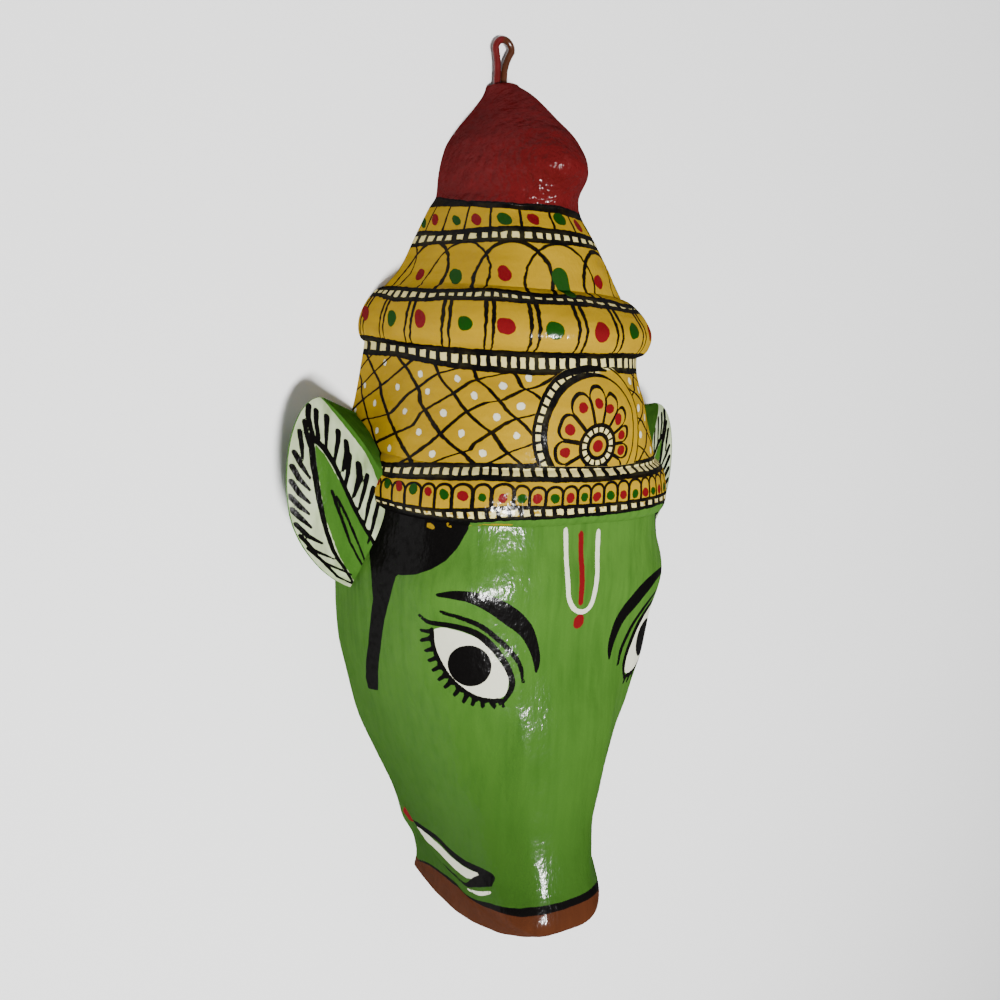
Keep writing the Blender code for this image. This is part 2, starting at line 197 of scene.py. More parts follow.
def gridMesh(name, rings, start, end, maps):
    # a closed solid through rings of points; maps holds one (u, v) grid per UV layer, seam column included
    rows, count = len(rings), len(rings[0])
    points = [tuple(p) for ring in rings for p in ring]
    faces, corners = [], []
    for r in range(rows - 1):
        for c in range(count):
            d = (c + 1) % count
            faces.append((r * count + c, r * count + d, (r + 1) * count + d, (r + 1) * count + c))
            corners += [(r, c), (r, c + 1), (r + 1, c + 1), (r + 1, c)]
    for r, pole in ((0, start), (rows - 1, end)):
        if pole is None:
            faces.append(tuple(r * count + c for c in range(count)))
            corners += [(r, c) for c in range(count)]
            continue
        points.append(tuple(pole))
        for c in range(count):
            faces.append((r * count + c, r * count + (c + 1) % count, len(points) - 1))
            corners += [(r, c), (r, c + 1), (r, count // 2)]
    mesh = bpy.data.meshes.new(name)
    mesh.from_pydata([tuple(map(float, p)) for p in points], [], faces)
    index = np.array(corners)
    for key, grid in maps.items():
        layer = mesh.uv_layers.new(name=key)
        grid = np.asarray(grid, float)
        value = grid[index[:, 0], np.minimum(index[:, 1], grid.shape[1] - 1)]
        layer.data.foreach_set("uv", value.astype(np.float32).ravel())
    return placeSolid(name, mesh)


def constantMap(rows, count, value):
    return np.tile(np.array(value, float), (rows, count + 1, 1))


bakeSpots = {                    # each part's place in the unwrapped square: left, right, low, top
    "head": (0.01, 0.78, 0.01, 0.99), "hollow": (0.80, 0.99, 0.72, 0.99),
    "leftEar": (0.80, 0.99, 0.01, 0.34), "rightEar": (0.80, 0.99, 0.37, 0.70),
}
cutSpot = (0.9, 0.985)           # where the cuts' own faces lie in it


def bakeMap(name, across, along):
    left, right, low, top = bakeSpots[name]
    return np.stack([left + (right - left) * across, low + (top - low) * along], -1)


kinds = {"outside": (0, 0), "inside": (1, 0), "ear": (2, 0)}     # which material a face takes


def combine(target, tool, operation):
    change = target.modifiers.new("combine", "BOOLEAN")
    change.operation, change.solver, change.object = operation, "MANIFOLD", tool
    graph = bpy.context.evaluated_depsgraph_get()
    result = bpy.data.meshes.new_from_object(target.evaluated_get(graph))
    target.modifiers.clear()
    target.data = result
    bpy.data.objects.remove(tool, do_unlink=True)


def makeHead():
    base = np.linspace(0, 1, form["rows"])
    shares = np.unique(np.concatenate([base[2:-2], form["endRows"]]))
    columns = form["columns"]
    rings, across = [], []
    for share in shares:
        x, z = sectionLine(halfWidth(share), frontDepth(share), squareness(share), columns, form["wall"] / 2)
        rings.append(np.stack([x, np.full(len(x), alongAt(share)), z], 1))
        side = np.linspace(-1, 1, columns + 1)
        across.append(np.concatenate([[-1], side, [1, 1]]))
    grid = np.array(rings)
    normal = np.cross(np.gradient(grid, axis=1), np.gradient(grid, axis=0))
    normal /= np.linalg.norm(normal, axis=2, keepdims=True) + 1e-12
    rise = relief(grid[:, :, 0], shares[:, None], grid[:, :, 2])
    flat = grid.reshape(-1, 3)
    uneven = sum(part * lumps(flat, size, seed) for seed, (size, part) in enumerate(face["lumpSizes"], 1))
    rise = rise + face["lump"] * uneven.reshape(rise.shape)
    column = np.arange(rise.shape[1])
    edge = np.clip(np.minimum(column, column[::-1]) / face["lumpEdge"], 0, 1)
    grid = grid + normal * (rise * edge)[:, :, None]
    across = np.array(across)
    rows = np.repeat(shares[:, None], across.shape[1], 1)
    paint = np.stack([across, rows], 2)
    bake = bakeMap("head", (across + 1) / 2, rows)
    kind = constantMap(len(grid), grid.shape[1], kinds["outside"])
    return gridMesh("mask", grid, (0, alongAt(0), 0), (0, alongAt(1), 0),
                    {"paint": paint, "kind": kind, "OFBake": bake})


hollow = {"low": 1.3, "blunt": 7, "lump": 0.0005, "lumpSize": 0.011, "lumpSeed": 5, "smoothFoot": 0.002}


def makeHollow():
    low = hollow["low"] * form["wall"] / form["height"]
    high = 1 - (loopWire["bed"] + loopWire["clearance"] + form["wall"]) / form["height"]
    rings, maps = [], []
    columns = form["hollowColumns"]
    for k in range(1, form["hollowRows"]):
        u = (1 - math.cos(math.pi * k / form["hollowRows"])) / 2
        share = low + (high - low) * u
        close = (1 - abs(2 * u - 1) ** hollow["blunt"]) ** 0.5
        width = (form["halfWidth"] * widthShare(share) - form["wall"]) * close
        depth = (form["depth"] * depthShare(share) - form["wall"]) * close
        x, z = sectionLine(width, depth, squareness(share), columns, 2 * form["wall"])
        rings.append(np.stack([x, np.full(len(x), alongAt(share)), z], 1))
        maps.append(bakeMap("hollow", np.linspace(0, 1, len(x) + 1), np.full(len(x) + 1, share)))
    flat = np.array(rings)
    centre = flat.mean(axis=1, keepdims=True) * [0, 1, 0]
    away = flat - centre
    away /= np.linalg.norm(away, axis=2, keepdims=True) + 1e-12
    rough = lumps(flat.reshape(-1, 3), hollow["lumpSize"], hollow["lumpSeed"]).reshape(flat.shape[:2])
    rough = rough * (flat[:, :, 2] > hollow["smoothFoot"])
    flat = flat + away * (hollow["lump"] * rough)[:, :, None]
    kind = constantMap(len(rings), len(rings[0]), kinds["inside"])
    return gridMesh("hollow", flat, (0, alongAt(low), -form["wall"]), (0, alongAt(high), -form["wall"]),
                    {"paint": np.array(maps), "kind": kind, "OFBake": np.array(maps)})


ear = {                          # leaf-shaped ears, turned outward
    "root": 0.4277, "length": 0.063, "outer": 0.0202, "inner": 0.0130, "turn": math.radians(29),
    "splay": 0.0148, "cup": 0.0030, "edgeRise": 0.0200, "rootDrop": 0.0050, "thickness": 0.0040,
    "edge": 0.0018, "backSlope": 1.2, "webDrop": 0.0070, "webLow": 0.0030, "widest": 0.43, "thin": 0.0006,
    "outerLow": 0.72, "outerHigh": (1.6, 0.55), "innerHigh": (2, 0.9),       # how round the leaf's edges are
    "rootRun": 0.25, "tip": 6, "tipThin": 0.4, "backThick": 1.15, "webThick": 0.35, "edgeIn": 0.3,
    "rows": 104, "columns": 58, "under": 16, "web": 14,
    "backReach": -60,            # millimetres across at the ear's back, so that no stroke lands on it
}


def earSpan(s):
    widest = ear["widest"]
    past = max(s - widest, 0) / (1 - widest)
    bow, blunt = ear["outerHigh"]
    outer = max(1 - past ** bow, 0) ** blunt
    if s < widest:
        outer = (1 - ((widest - s) / widest) ** 2) ** ear["outerLow"]
    bow, blunt = ear["innerHigh"]
    inner = max(1 - past ** bow, 0) ** blunt
    return max(ear["outer"] * outer, ear["thin"]), max(ear["inner"] * inner, ear["thin"])


def earFace(s):
    share = ear["root"] + s * ear["length"] / form["height"]
    outer, inner = earSpan(s)
    root = sideAt(ear["root"], ear["edgeRise"] - ear["rootDrop"]) - form["wall"] * 0.4
    rise = ear["edgeRise"] - ear["rootDrop"] * max(1 - s / ear["rootRun"], 0) ** 2
    h = np.linspace(outer, -inner, ear["columns"])
    span = np.where(h > 0, h / outer, -h / inner)
    cup = ear["cup"] * min(outer / ear["outer"], 1) * (1 - span ** 2)
    x = root + s * ear["splay"] + h * math.cos(ear["turn"]) - cup * math.sin(ear["turn"])
    z = rise + (outer - h) * math.sin(ear["turn"]) - cup * math.cos(ear["turn"])
    return np.maximum(x, sideAt(share, z) - form["wall"] / 2), z, share, h


def makeEar(side):
    rings, paint, bake = [], [], []
    for k in range(ear["rows"] + 1):
        s = k / ear["rows"]
        x, z, share, h = earFace(s)
        y = alongAt(share)
        drop = ear["webDrop"] * s ** ear["tip"]
        thick = ear["thickness"] * (1 - ear["tipThin"] * s ** ear["tip"])
        webShare = share - drop / form["height"]
        webZ = z[-1] - ear["backSlope"] * max(x[-1] - sideAt(webShare, 0.0) + form["wall"] / 2, 0)
        webZ = min(max(webZ, ear["webLow"]), z[-1] - ear["thin"])
        webX = min(sideAt(webShare, webZ) - form["wall"] / 2, x[-1] - ear["thin"])
        ring = [(x[i], y, z[i]) for i in range(len(x))]
        for j in range(1, ear["web"] + 1):
            t = j / ear["web"]
            ring.append((x[-1] + (webX - x[-1]) * t, y - drop * t, z[-1] + (webZ - z[-1]) * t))
        topX = np.concatenate([[webX], x[::-1]])
        topZ = np.concatenate([[webZ], z[::-1]])
        for j in range(ear["under"]):
            underX = webX + (x[0] - ear["edgeIn"] * ear["edge"] - webX) * j / (ear["under"] - 1)
            toEdge = min(max((x[0] - underX) / (2 * ear["thickness"]), 0), 1)
            web = min(max((x[-1] - underX) / (x[-1] - webX), 0), 1)
            depth = ear["edge"] + (ear["backThick"] * thick - ear["edge"]) * toEdge
            depth += ear["webThick"] * thick * min(2 * web, 1)
            underZ = max(np.interp(underX, topX, topZ) - depth, ear["thin"])
            ring.append((underX, y - drop * web, underZ))
        rings.append([(side * px, py, pz) for px, py, pz in ring])
        reach = np.concatenate([h * mm, h[-1] * mm - np.arange(1, ear["web"] + 1),
                                ear["backReach"] - np.arange(ear["under"] + 1)])
        paint.append(np.stack([reach, np.full(len(reach), s * ear["length"] * mm)], 1))
        spot = "leftEar" if side < 0 else "rightEar"
        bake.append(bakeMap(spot, np.linspace(0, 1, len(reach)), np.full(len(reach), s)))
    kind = constantMap(len(rings), len(rings[0]), kinds["ear"])
    maps = {"paint": np.array(paint), "kind": kind, "OFBake": np.array(bake)}
    return gridMesh("ear", rings, None, None, maps)


loopWire = {                     # the wire loop and its bed in the crown's tip
    "wire": 0.0023, "legGap": 0.0003, "eye": 0.0039, "rise": 0.0154, "skin": 0.00125,
    "offset": -0.0006, "bed": 0.0052, "clearance": 0.0003, "sides": 24, "steps": 25,
    "parting": 0.45,             # share of the legs' height from which they part
    "bedSides": 32,
}
legSpacing = loopWire["wire"] + loopWire["legGap"]
loopBow = (loopWire["eye"] + loopWire["wire"]) / 2
loopStand = loopWire["wire"] / 2 + loopWire["clearance"] + loopWire["skin"]


def makeBlock(name, rings):
    count = len(rings[0])
    flat = constantMap(len(rings), count, cutSpot)
    kind = constantMap(len(rings), count, kinds["inside"])
    return gridMesh(name, rings, None, None, {"paint": flat, "kind": kind, "OFBake": flat})


def makeBed():
    top = alongAt(1)
    radius = loopWire["wire"] / 2 + loopWire["clearance"]
    outline = []
    for k in range(loopWire["bedSides"]):
        turn = math.tau * k / loopWire["bedSides"] + 0.0001          # no corner falls between the two legs
        shift = math.copysign(legSpacing / 2, math.cos(turn))
        outline.append((shift + radius * math.cos(turn), radius * math.sin(turn)))
    low = top - loopWire["bed"] - loopWire["clearance"]
    return makeBlock("bed", [[(x + loopWire["offset"], y, loopStand + z) for x, z in outline]
                             for y in (low, top + form["wall"])])


def makeFoot():
    reach = form["height"] + form["halfWidth"]
    corners = [(-reach, -reach), (reach, -reach), (reach, reach), (-reach, reach)]
    return makeBlock("foot", [[(x, y, z) for x, y in corners] for z in (-8 * form["wall"], 0.0)])


mask = makeHead()
combine(mask, makeHollow(), "DIFFERENCE")
for side in (-1, 1):
    combine(mask, makeEar(side), "UNION")
combine(mask, makeBed(), "DIFFERENCE")
combine(mask, makeFoot(), "DIFFERENCE")
mask.name = "mask_paper"
print("mask form made:", len(mask.data.polygons), "faces")


# the painted lines on the crown: share of the height at places across it, left rim -1 to right rim 1
bandLines = {
    "strip10Low": [(-0.59, 0.5382), (-0.47, 0.5375), (-0.35, 0.5384), (-0.25, 0.5423), (-0.1, 0.5432),
                   (0.08, 0.5442), (0.26, 0.5464)],
    "strip10Top": [(-0.6, 0.544), (-0.46, 0.5452), (-0.35, 0.5496), (-0.25, 0.5537), (-0.02, 0.5529),
                   (0.26, 0.555)],
    "tongueTop": [(-0.6, 0.5666), (-0.4, 0.5736), (-0.26, 0.5768), (-0.18, 0.5738), (-0.02, 0.5745),
                  (0.07, 0.5768), (0.26, 0.5791)],
    "strip8Low": [(-0.63, 0.5708), (-0.48, 0.5767), (-0.33, 0.5808), (-0.18, 0.5812), (-0.02, 0.5798),
                  (0.19, 0.5813), (0.43, 0.583)],
    "strip8Top": [(-0.66, 0.5799), (-0.49, 0.5875), (-0.33, 0.5921), (-0.18, 0.5935), (0.09, 0.5914),
                  (0.21, 0.5933), (0.5, 0.5940)],
    "strip6Low": [(-0.92, 0.6909), (-0.75, 0.692), (-0.55, 0.6867), (-0.36, 0.6843), (-0.2, 0.6838),
                  (0.09, 0.6897), (0.32, 0.6884)],
    "strip6Top": [(-0.94, 0.7064), (-0.68, 0.7024), (-0.45, 0.6997), (-0.2, 0.7007), (0.08, 0.7041),
                  (0.26, 0.7047)],
    "strip4Low": [(-0.92, 0.7545), (-0.78, 0.7486), (-0.63, 0.749), (-0.47, 0.7517), (-0.2, 0.7523),
                  (0.1, 0.7524), (0.21, 0.7513)],
    "strip4Top": [(-0.95, 0.7624), (-0.72, 0.7599), (-0.58, 0.758), (-0.37, 0.761), (-0.2, 0.7586),
                  (0.13, 0.7597), (0.21, 0.7567)],
    "strip2Low": [(-0.89, 0.8125), (-0.57, 0.8121), (-0.42, 0.8138), (-0.17, 0.8143), (0.11, 0.8156),
                  (0.22, 0.816)],
    "strip2Top": [(-0.91, 0.8258), (-0.78, 0.8232), (-0.58, 0.823), (-0.29, 0.8264), (0.14, 0.8254),
                  (0.22, 0.825)],
    "bulbLow": [(-0.93, 0.8587), (-0.6, 0.8536), (-0.41, 0.8506), (-0.06, 0.8483), (0.16, 0.8468)],
    "bulbTop": [(-0.96, 0.8665), (-0.61, 0.8565), (-0.23, 0.852), (-0.05, 0.8529), (0.19, 0.8516)],
}
# where the cells of each band part, from left to right; each goes on evenly past its ends
cellMarks = {
    "row1": [-0.729, -0.562, -0.402, -0.231, -0.061, 0.065],
    "strip2": [-0.937, -0.843, -0.757, -0.689, -0.614, -0.535, -0.453, -0.397, -0.348, -0.297, -0.231,
               -0.172, -0.125, -0.084, -0.037, 0.015, 0.074, 0.138, 0.224],
    "strip4": [-0.862, -0.808, -0.759, -0.706, -0.655, -0.608, -0.560, -0.519, -0.483, -0.448, -0.415,
               -0.379, -0.347, -0.317, -0.285, -0.252, -0.208, -0.167, -0.131, -0.091, -0.054, -0.016,
               0.032, 0.087, 0.158],
    "strip6": [-0.95, -0.87, -0.80, -0.74, -0.69, -0.63, -0.585, -0.54, -0.495, -0.45, -0.42, -0.385, -0.35,
               -0.315, -0.28, -0.25, -0.22, -0.19, -0.155, -0.12, -0.085, -0.045, 0.0, 0.04, 0.085, 0.13,
               0.18, 0.23],
    "strip8": [-0.634, -0.590, -0.554, -0.519, -0.491, -0.458, -0.427, -0.400, -0.370, -0.340, -0.315,
               -0.286, -0.255, -0.223, -0.187, -0.152, -0.108, -0.072, -0.032, 0.014, 0.060, 0.107, 0.149,
               0.190, 0.230, 0.268],
    "strip10": [-0.60, -0.565, -0.53, -0.50, -0.465, -0.43, -0.40, -0.37, -0.34, -0.31, -0.28, -0.25,
                -0.215, -0.185, -0.15, -0.115, -0.08, -0.045, -0.01, 0.03, 0.07, 0.11, 0.15, 0.19, 0.23,
                0.27],
    "ringBars": [-0.818, -0.670, -0.510, -0.357, -0.217, -0.067, 0.081, 0.232],
    "tongues": [-0.565, -0.508, -0.465, -0.414, -0.355, -0.305, -0.242, -0.197, -0.149, -0.096, -0.046, 0.0,
                0.046, 0.097, 0.143, 0.197, 0.241, 0.285],
    "boldArches": [-0.985, -0.509, -0.033, 0.450, 0.930],
    "fineArches": [-0.770, -0.295, 0.170, 0.635, 1.100],
}
latticeStep = {"latticeDown": 0.15, "latticeUp": 0.13}       # gap between lines past the last drawn one
latticeDown = [                  # wavy lines falling to the right, as (across, share)
    [(-0.95, 0.6863), (-0.89, 0.6735), (-0.82, 0.6601), (-0.80, 0.6472), (-0.72, 0.6234), (-0.68, 0.6141),
     (-0.61, 0.5955), (-0.57, 0.5863)],
    [(-0.74, 0.6910), (-0.67, 0.6766), (-0.61, 0.6602), (-0.59, 0.6456), (-0.54, 0.6322), (-0.49, 0.6176),
     (-0.44, 0.6083), (-0.39, 0.6003)],
    [(-0.55, 0.6842), (-0.52, 0.6699), (-0.47, 0.6587), (-0.44, 0.6498), (-0.41, 0.6408), (-0.36, 0.6299),
     (-0.32, 0.6238), (-0.28, 0.6078), (-0.23, 0.5963)],
    [(-0.40, 0.6822), (-0.39, 0.6729), (-0.35, 0.6664), (-0.31, 0.6542), (-0.28, 0.6441), (-0.23, 0.6340),
     (-0.20, 0.6236)],
    [(-0.26, 0.6803), (-0.24, 0.6687), (-0.20, 0.6635), (-0.18, 0.6579)],
]
latticeUp = [                    # and those rising to the right
    [(-0.91, 0.6413), (-0.83, 0.6531), (-0.73, 0.6729), (-0.66, 0.6872)],
    [(-0.88, 0.6189), (-0.81, 0.6227), (-0.72, 0.6297), (-0.65, 0.6541), (-0.61, 0.6602), (-0.55, 0.6742),
     (-0.49, 0.6805), (-0.42, 0.6855)],
    [(-0.75, 0.5998), (-0.66, 0.6124), (-0.60, 0.6212), (-0.58, 0.6356), (-0.53, 0.6460), (-0.47, 0.6576),
     (-0.41, 0.6711), (-0.35, 0.6774), (-0.28, 0.6811)],
    [(-0.60, 0.5850), (-0.55, 0.5980), (-0.50, 0.6134), (-0.47, 0.6244), (-0.42, 0.6406), (-0.36, 0.6519),
     (-0.30, 0.6555), (-0.25, 0.6650), (-0.18, 0.6709)],
    [(-0.46, 0.5952), (-0.38, 0.6052), (-0.37, 0.6126), (-0.32, 0.6250), (-0.27, 0.6369), (-0.24, 0.6401),
     (-0.18, 0.6446)],
    [(-0.30, 0.5975), (-0.26, 0.6068), (-0.21, 0.6124)],
]
crownDots = {                    # place across, share of the height and colour
    "row1": [(-0.98, 0.8400, "green"), (-0.84, 0.8397, "red"), (-0.64, 0.8370, "green"),
             (-0.49, 0.8363, "red"),
             (-0.32, 0.8367, "green"), (-0.16, 0.8384, "red"), (-0.01, 0.8402, "green"),
             (0.12, 0.8373, "red")],
    "arches": [(-0.75, 0.7771, "red"), (-0.53, 0.7756, "green"), (-0.31, 0.7800, "red"),
               (-0.08, 0.7773, "green"),
               (0.13, 0.7790, "red")],
    "ring": [(-0.96, 0.7342, "red"), (-0.757, 0.7282, "green"), (-0.614, 0.7294, "red"),
             (-0.438, 0.7272, "green"),
             (-0.306, 0.7265, "red"), (-0.157, 0.7253, "green"), (0.003, 0.7264, "red"),
             (0.16, 0.7301, "green")],
}
# radii in millimetres
dotRadius = {"row1": 2.1, "arches": 2.4, "ring": 2.7, "tongues": 1.6, "petals": 1.7, "lattice": 1.15}
tongueDots = 0.5625              # share of the height of the dots in the tongues
wideDot = [(-0.075, 0.7800, 2.6), (-0.058, 0.7650, 2.1)]             # the long green dot in an arch
crest = [(-0.13, 0.678, 0.5), (-0.08, 0.6855, 1.0), (-0.02, 0.6900, 1.1), (0.04, 0.6905, 0.8),
         (0.075, 0.6890, 0.4)]   # the stroke that caps the rosette
latticeDots = [(-0.811, 0.6818), (-0.717, 0.6587), (-0.611, 0.6741), (-0.569, 0.6574), (-0.458, 0.6725),
               (-0.394, 0.6577), (-0.300, 0.6688), (-0.651, 0.6347), (-0.493, 0.6379), (-0.316, 0.6391),
               (-0.244, 0.6508), (-0.569, 0.6164), (-0.417, 0.6199), (-0.249, 0.6228), (-0.682, 0.5955),
               (-0.501, 0.5975), (-0.342, 0.6034), (-0.218, 0.6787), (-0.832, 0.6376), (-0.93, 0.655),
               (-0.97, 0.625),
               (-0.78, 0.610)]
rosette = {                      # in metres, but for the shares and counts
    "across": 0.0015, "share": 0.6255, "ring": 0.0195, "rim": 0.0012, "overStrip": 0.0006, "leftOver": 0.012,
    "bandIn": 0.0010, "bandHalf": 0.0014, "rimLines": ((0.0008, 0.0004), (-0.0024, 0.0007)),
    "rimHalf": 0.0003, "spokes": 44, "flowerAcross": 0.0030, "flowerShare": 0.6129,
    "flowerFrom": 0.0064, "notch": 0.0030, "petalHalf": 0.0006, "seamHalf": 0.0011, "seamSoft": 0.0003,
    "eyelets": 15, "heart": 0.0019,
    "rings": ((0.0057, 0.0070), (0.0040, 0.0058), (0.0030, 0.0043)),     # outer line, eyelets, inner line
}
petals = {                       # where the petals part, and how far they reach, turning from the right
    "seams": [-90, -57, -24, 5, 33, 59, 83, 107, 137, 172, 206, 238, 270],
    "reach": [(-30, 12.0), (18, 12.6), (45, 14.3), (71, 15.8), (94, 17.6), (120, 17.2), (155, 15.2),
              (210, 14.8)],
    "dots": [(-0.080, 0.6296), (-0.090, 0.6069), (-0.040, 0.6521), (0.020, 0.6565), (0.068, 0.6511),
             (0.107, 0.6404),
             (0.130, 0.6238), (0.130, 0.6079)],
}

# the painted strokes of the face's left side, mirrored on the right: (across, along, radius) in millimetres
faceInk = [
    [(-44.9, -19.0, 0.5), (-40.2, -18.5, 1.2), (-34.8, -19.0, 1.7), (-28.7, -21.5, 2.5),
     (-23.3, -25.1, 2.8),
     (-18.4, -29.5, 2.3), (-15.5, -34.7, 1.7), (-14.1, -39.4, 1.2), (-13.9, -43.0, 0.5)],
    [(-43.5, -24.0, 0.6), (-38.1, -25.3, 0.7), (-32.3, -27.7, 0.8), (-26.9, -31.8, 0.8),
     (-22.2, -36.4, 0.8),
     (-19.4, -40.7, 0.7), (-18.0, -46.3, 0.5)],
    [(-50.4, -26.6, 0.6), (-47.2, -28.3, 0.8), (-41.9, -28.2, 0.9), (-35.4, -29.3, 1.0),
     (-30.2, -32.3, 1.1),
     (-24.7, -38.6, 1.0), (-21.9, -44.2, 0.95), (-21.7, -47.9, 0.9), (-23.7, -52.0, 0.7)],
    [(-46.3, -30.5, 0.7), (-45.4, -37.0, 0.75), (-41.6, -43.9, 0.8), (-37.1, -48.3, 0.8),
     (-31.8, -51.1, 0.75),
     (-26.6, -52.0, 0.7), (-23.6, -51.9, 0.7)],
    [(-84.8, -120.3, 0.6), (-80.0, -122.6, 0.8), (-67.9, -119.5, 1.0), (-55.6, -117.1, 1.1),
     (-46.4, -117.9, 1.2),
     (-38.5, -117.5, 1.1), (-30.3, -116.2, 1.1), (-26.5, -116.4, 1.3)],
    [(-75.1, -132.0, 0.3), (-70.7, -127.1, 0.4), (-59.4, -126.7, 0.4), (-49.0, -125.6, 0.5),
     (-41.9, -125.1, 0.6),
     (-35.6, -121.5, 1.2), (-28.1, -117.7, 1.8)],
]
lashRadius = (0.6, 0.75)         # at a lash's first and second end, in millimetres
lashEnds = [((-50.0, -31.9), (-46.8, -31.6)), ((-49.9, -35.3), (-46.8, -33.9)), ((-48.3, -38.4),
            (-45.4, -36.9)),
            ((-47.1, -41.4), (-44.2, -39.6)), ((-45.7, -44.3), (-43.2, -42.3)), ((-43.9, -47.1),
            (-41.3, -44.8)),
            ((-41.8, -49.3), (-39.9, -46.9)), ((-38.8, -51.4), (-37.4, -48.9)), ((-36.0, -53.2),
            (-34.9, -50.5)),
            ((-33.3, -53.9), (-32.6, -51.4)), ((-30.1, -54.3), (-30.2, -51.9)), ((-26.6, -54.3),
            (-28.1, -51.7)),
            ((-23.8, -53.9), (-25.5, -51.7))]
eyeWhite = [(-45.5, -30.3), (-41.9, -29.3), (-35.1, -30.7), (-30.1, -33.7), (-26.1, -38.6), (-23.2, -43.2),
            (-22.7, -46.9), (-23.7, -50.3), (-26.8, -51.2), (-31.9, -50.6), (-37.0, -47.8), (-41.0, -43.8),
            (-44.1, -38.7), (-45.5, -34.2)]
pupil = {"centre": (-34.5, -40.9), "across": 6.5, "along": 6.6}
hair = [(-66.5, 4.6), (-37.7, 6.7), (-36.6, 0.6), (-39.8, -5.5), (-43.2, -9.5), (-47.5, -12.5),
        (-52.2, -14.7),
        (-57.5, -16.1), (-59.9, -16.4), (-61.8, -23.1), (-65.1, -32.9), (-67.3, -41.4), (-70.0, -52.8),
        (-71.6, -60.9),
        (-78.7, -63.4), (-79.3, -59.0), (-74.8, -44.0), (-71.4, -27.8), (-73.0, -19.0), (-75.0, -13.1),
        (-76.0, 4.0)]
faceWhite = [
    [(-75.2, -123.3, 1.4), (-62.8, -121.1, 1.8), (-53.5, -120.9, 1.8), (-46.9, -121.2, 1.7),
     (-40.1, -120.6, 1.5),
     (-34.8, -119.2, 1.0), (-31.1, -117.7, 0.4)],
    [(-41.0, -126.4, 0.4), (-34.3, -124.0, 0.6), (-28.1, -121.2, 0.4)],
]
tilak = [(-6.6, 0.3, 0.8), (-5.9, -12.2, 0.8), (-4.9, -20.2, 0.8), (-2.4, -24.2, 0.8), (0.6, -25.6, 0.8),
         (3.1, -24.8, 0.8), (4.5, -21.2, 0.8), (5.3, -13.2, 0.8), (5.6, -0.9, 0.8)]
tilakRed = [[(-0.9, -1.2, 0.95), (-0.2, -22.5, 0.95)], [(0.0, -28.2, 1.9), (0.0, -29.2, 1.9)]]
yellowLeft = [                   # specks of the crown's paint that show through the hair
    [(-48.9, 0.1, 0.9), (-47.5, -0.3, 0.6)], [(-43.0, 1.3, 0.7), (-42.0, 0.5, 0.4)],
    [(-36.5, 1.9, 0.4), (-31.0, 2.3, 0.45), (-25.0, 2.6, 0.3)],
]
mouthRed = [(-85.0, -120.4), (-80.5, -121.4), (-81.0, -124.8), (-87.2, -128.0), (-89.8, -124.6)]
lipLine = [(-60.0, -146.8, 0.8), (-57.2, -142.0, 1.0), (-51.5, -138.2, 1.0), (-45.4, -135.6, 1.1),
           (-39.4, -130.9, 1.1),
           (-31.7, -126.5, 1.0), (-24.2, -124.4, 1.0), (-17.5, -123.0, 1.1), (-13.5, -121.9, 1.1),
           (-7.8, -121.1, 1.1),
           (0.0, -120.8, 1.1)]

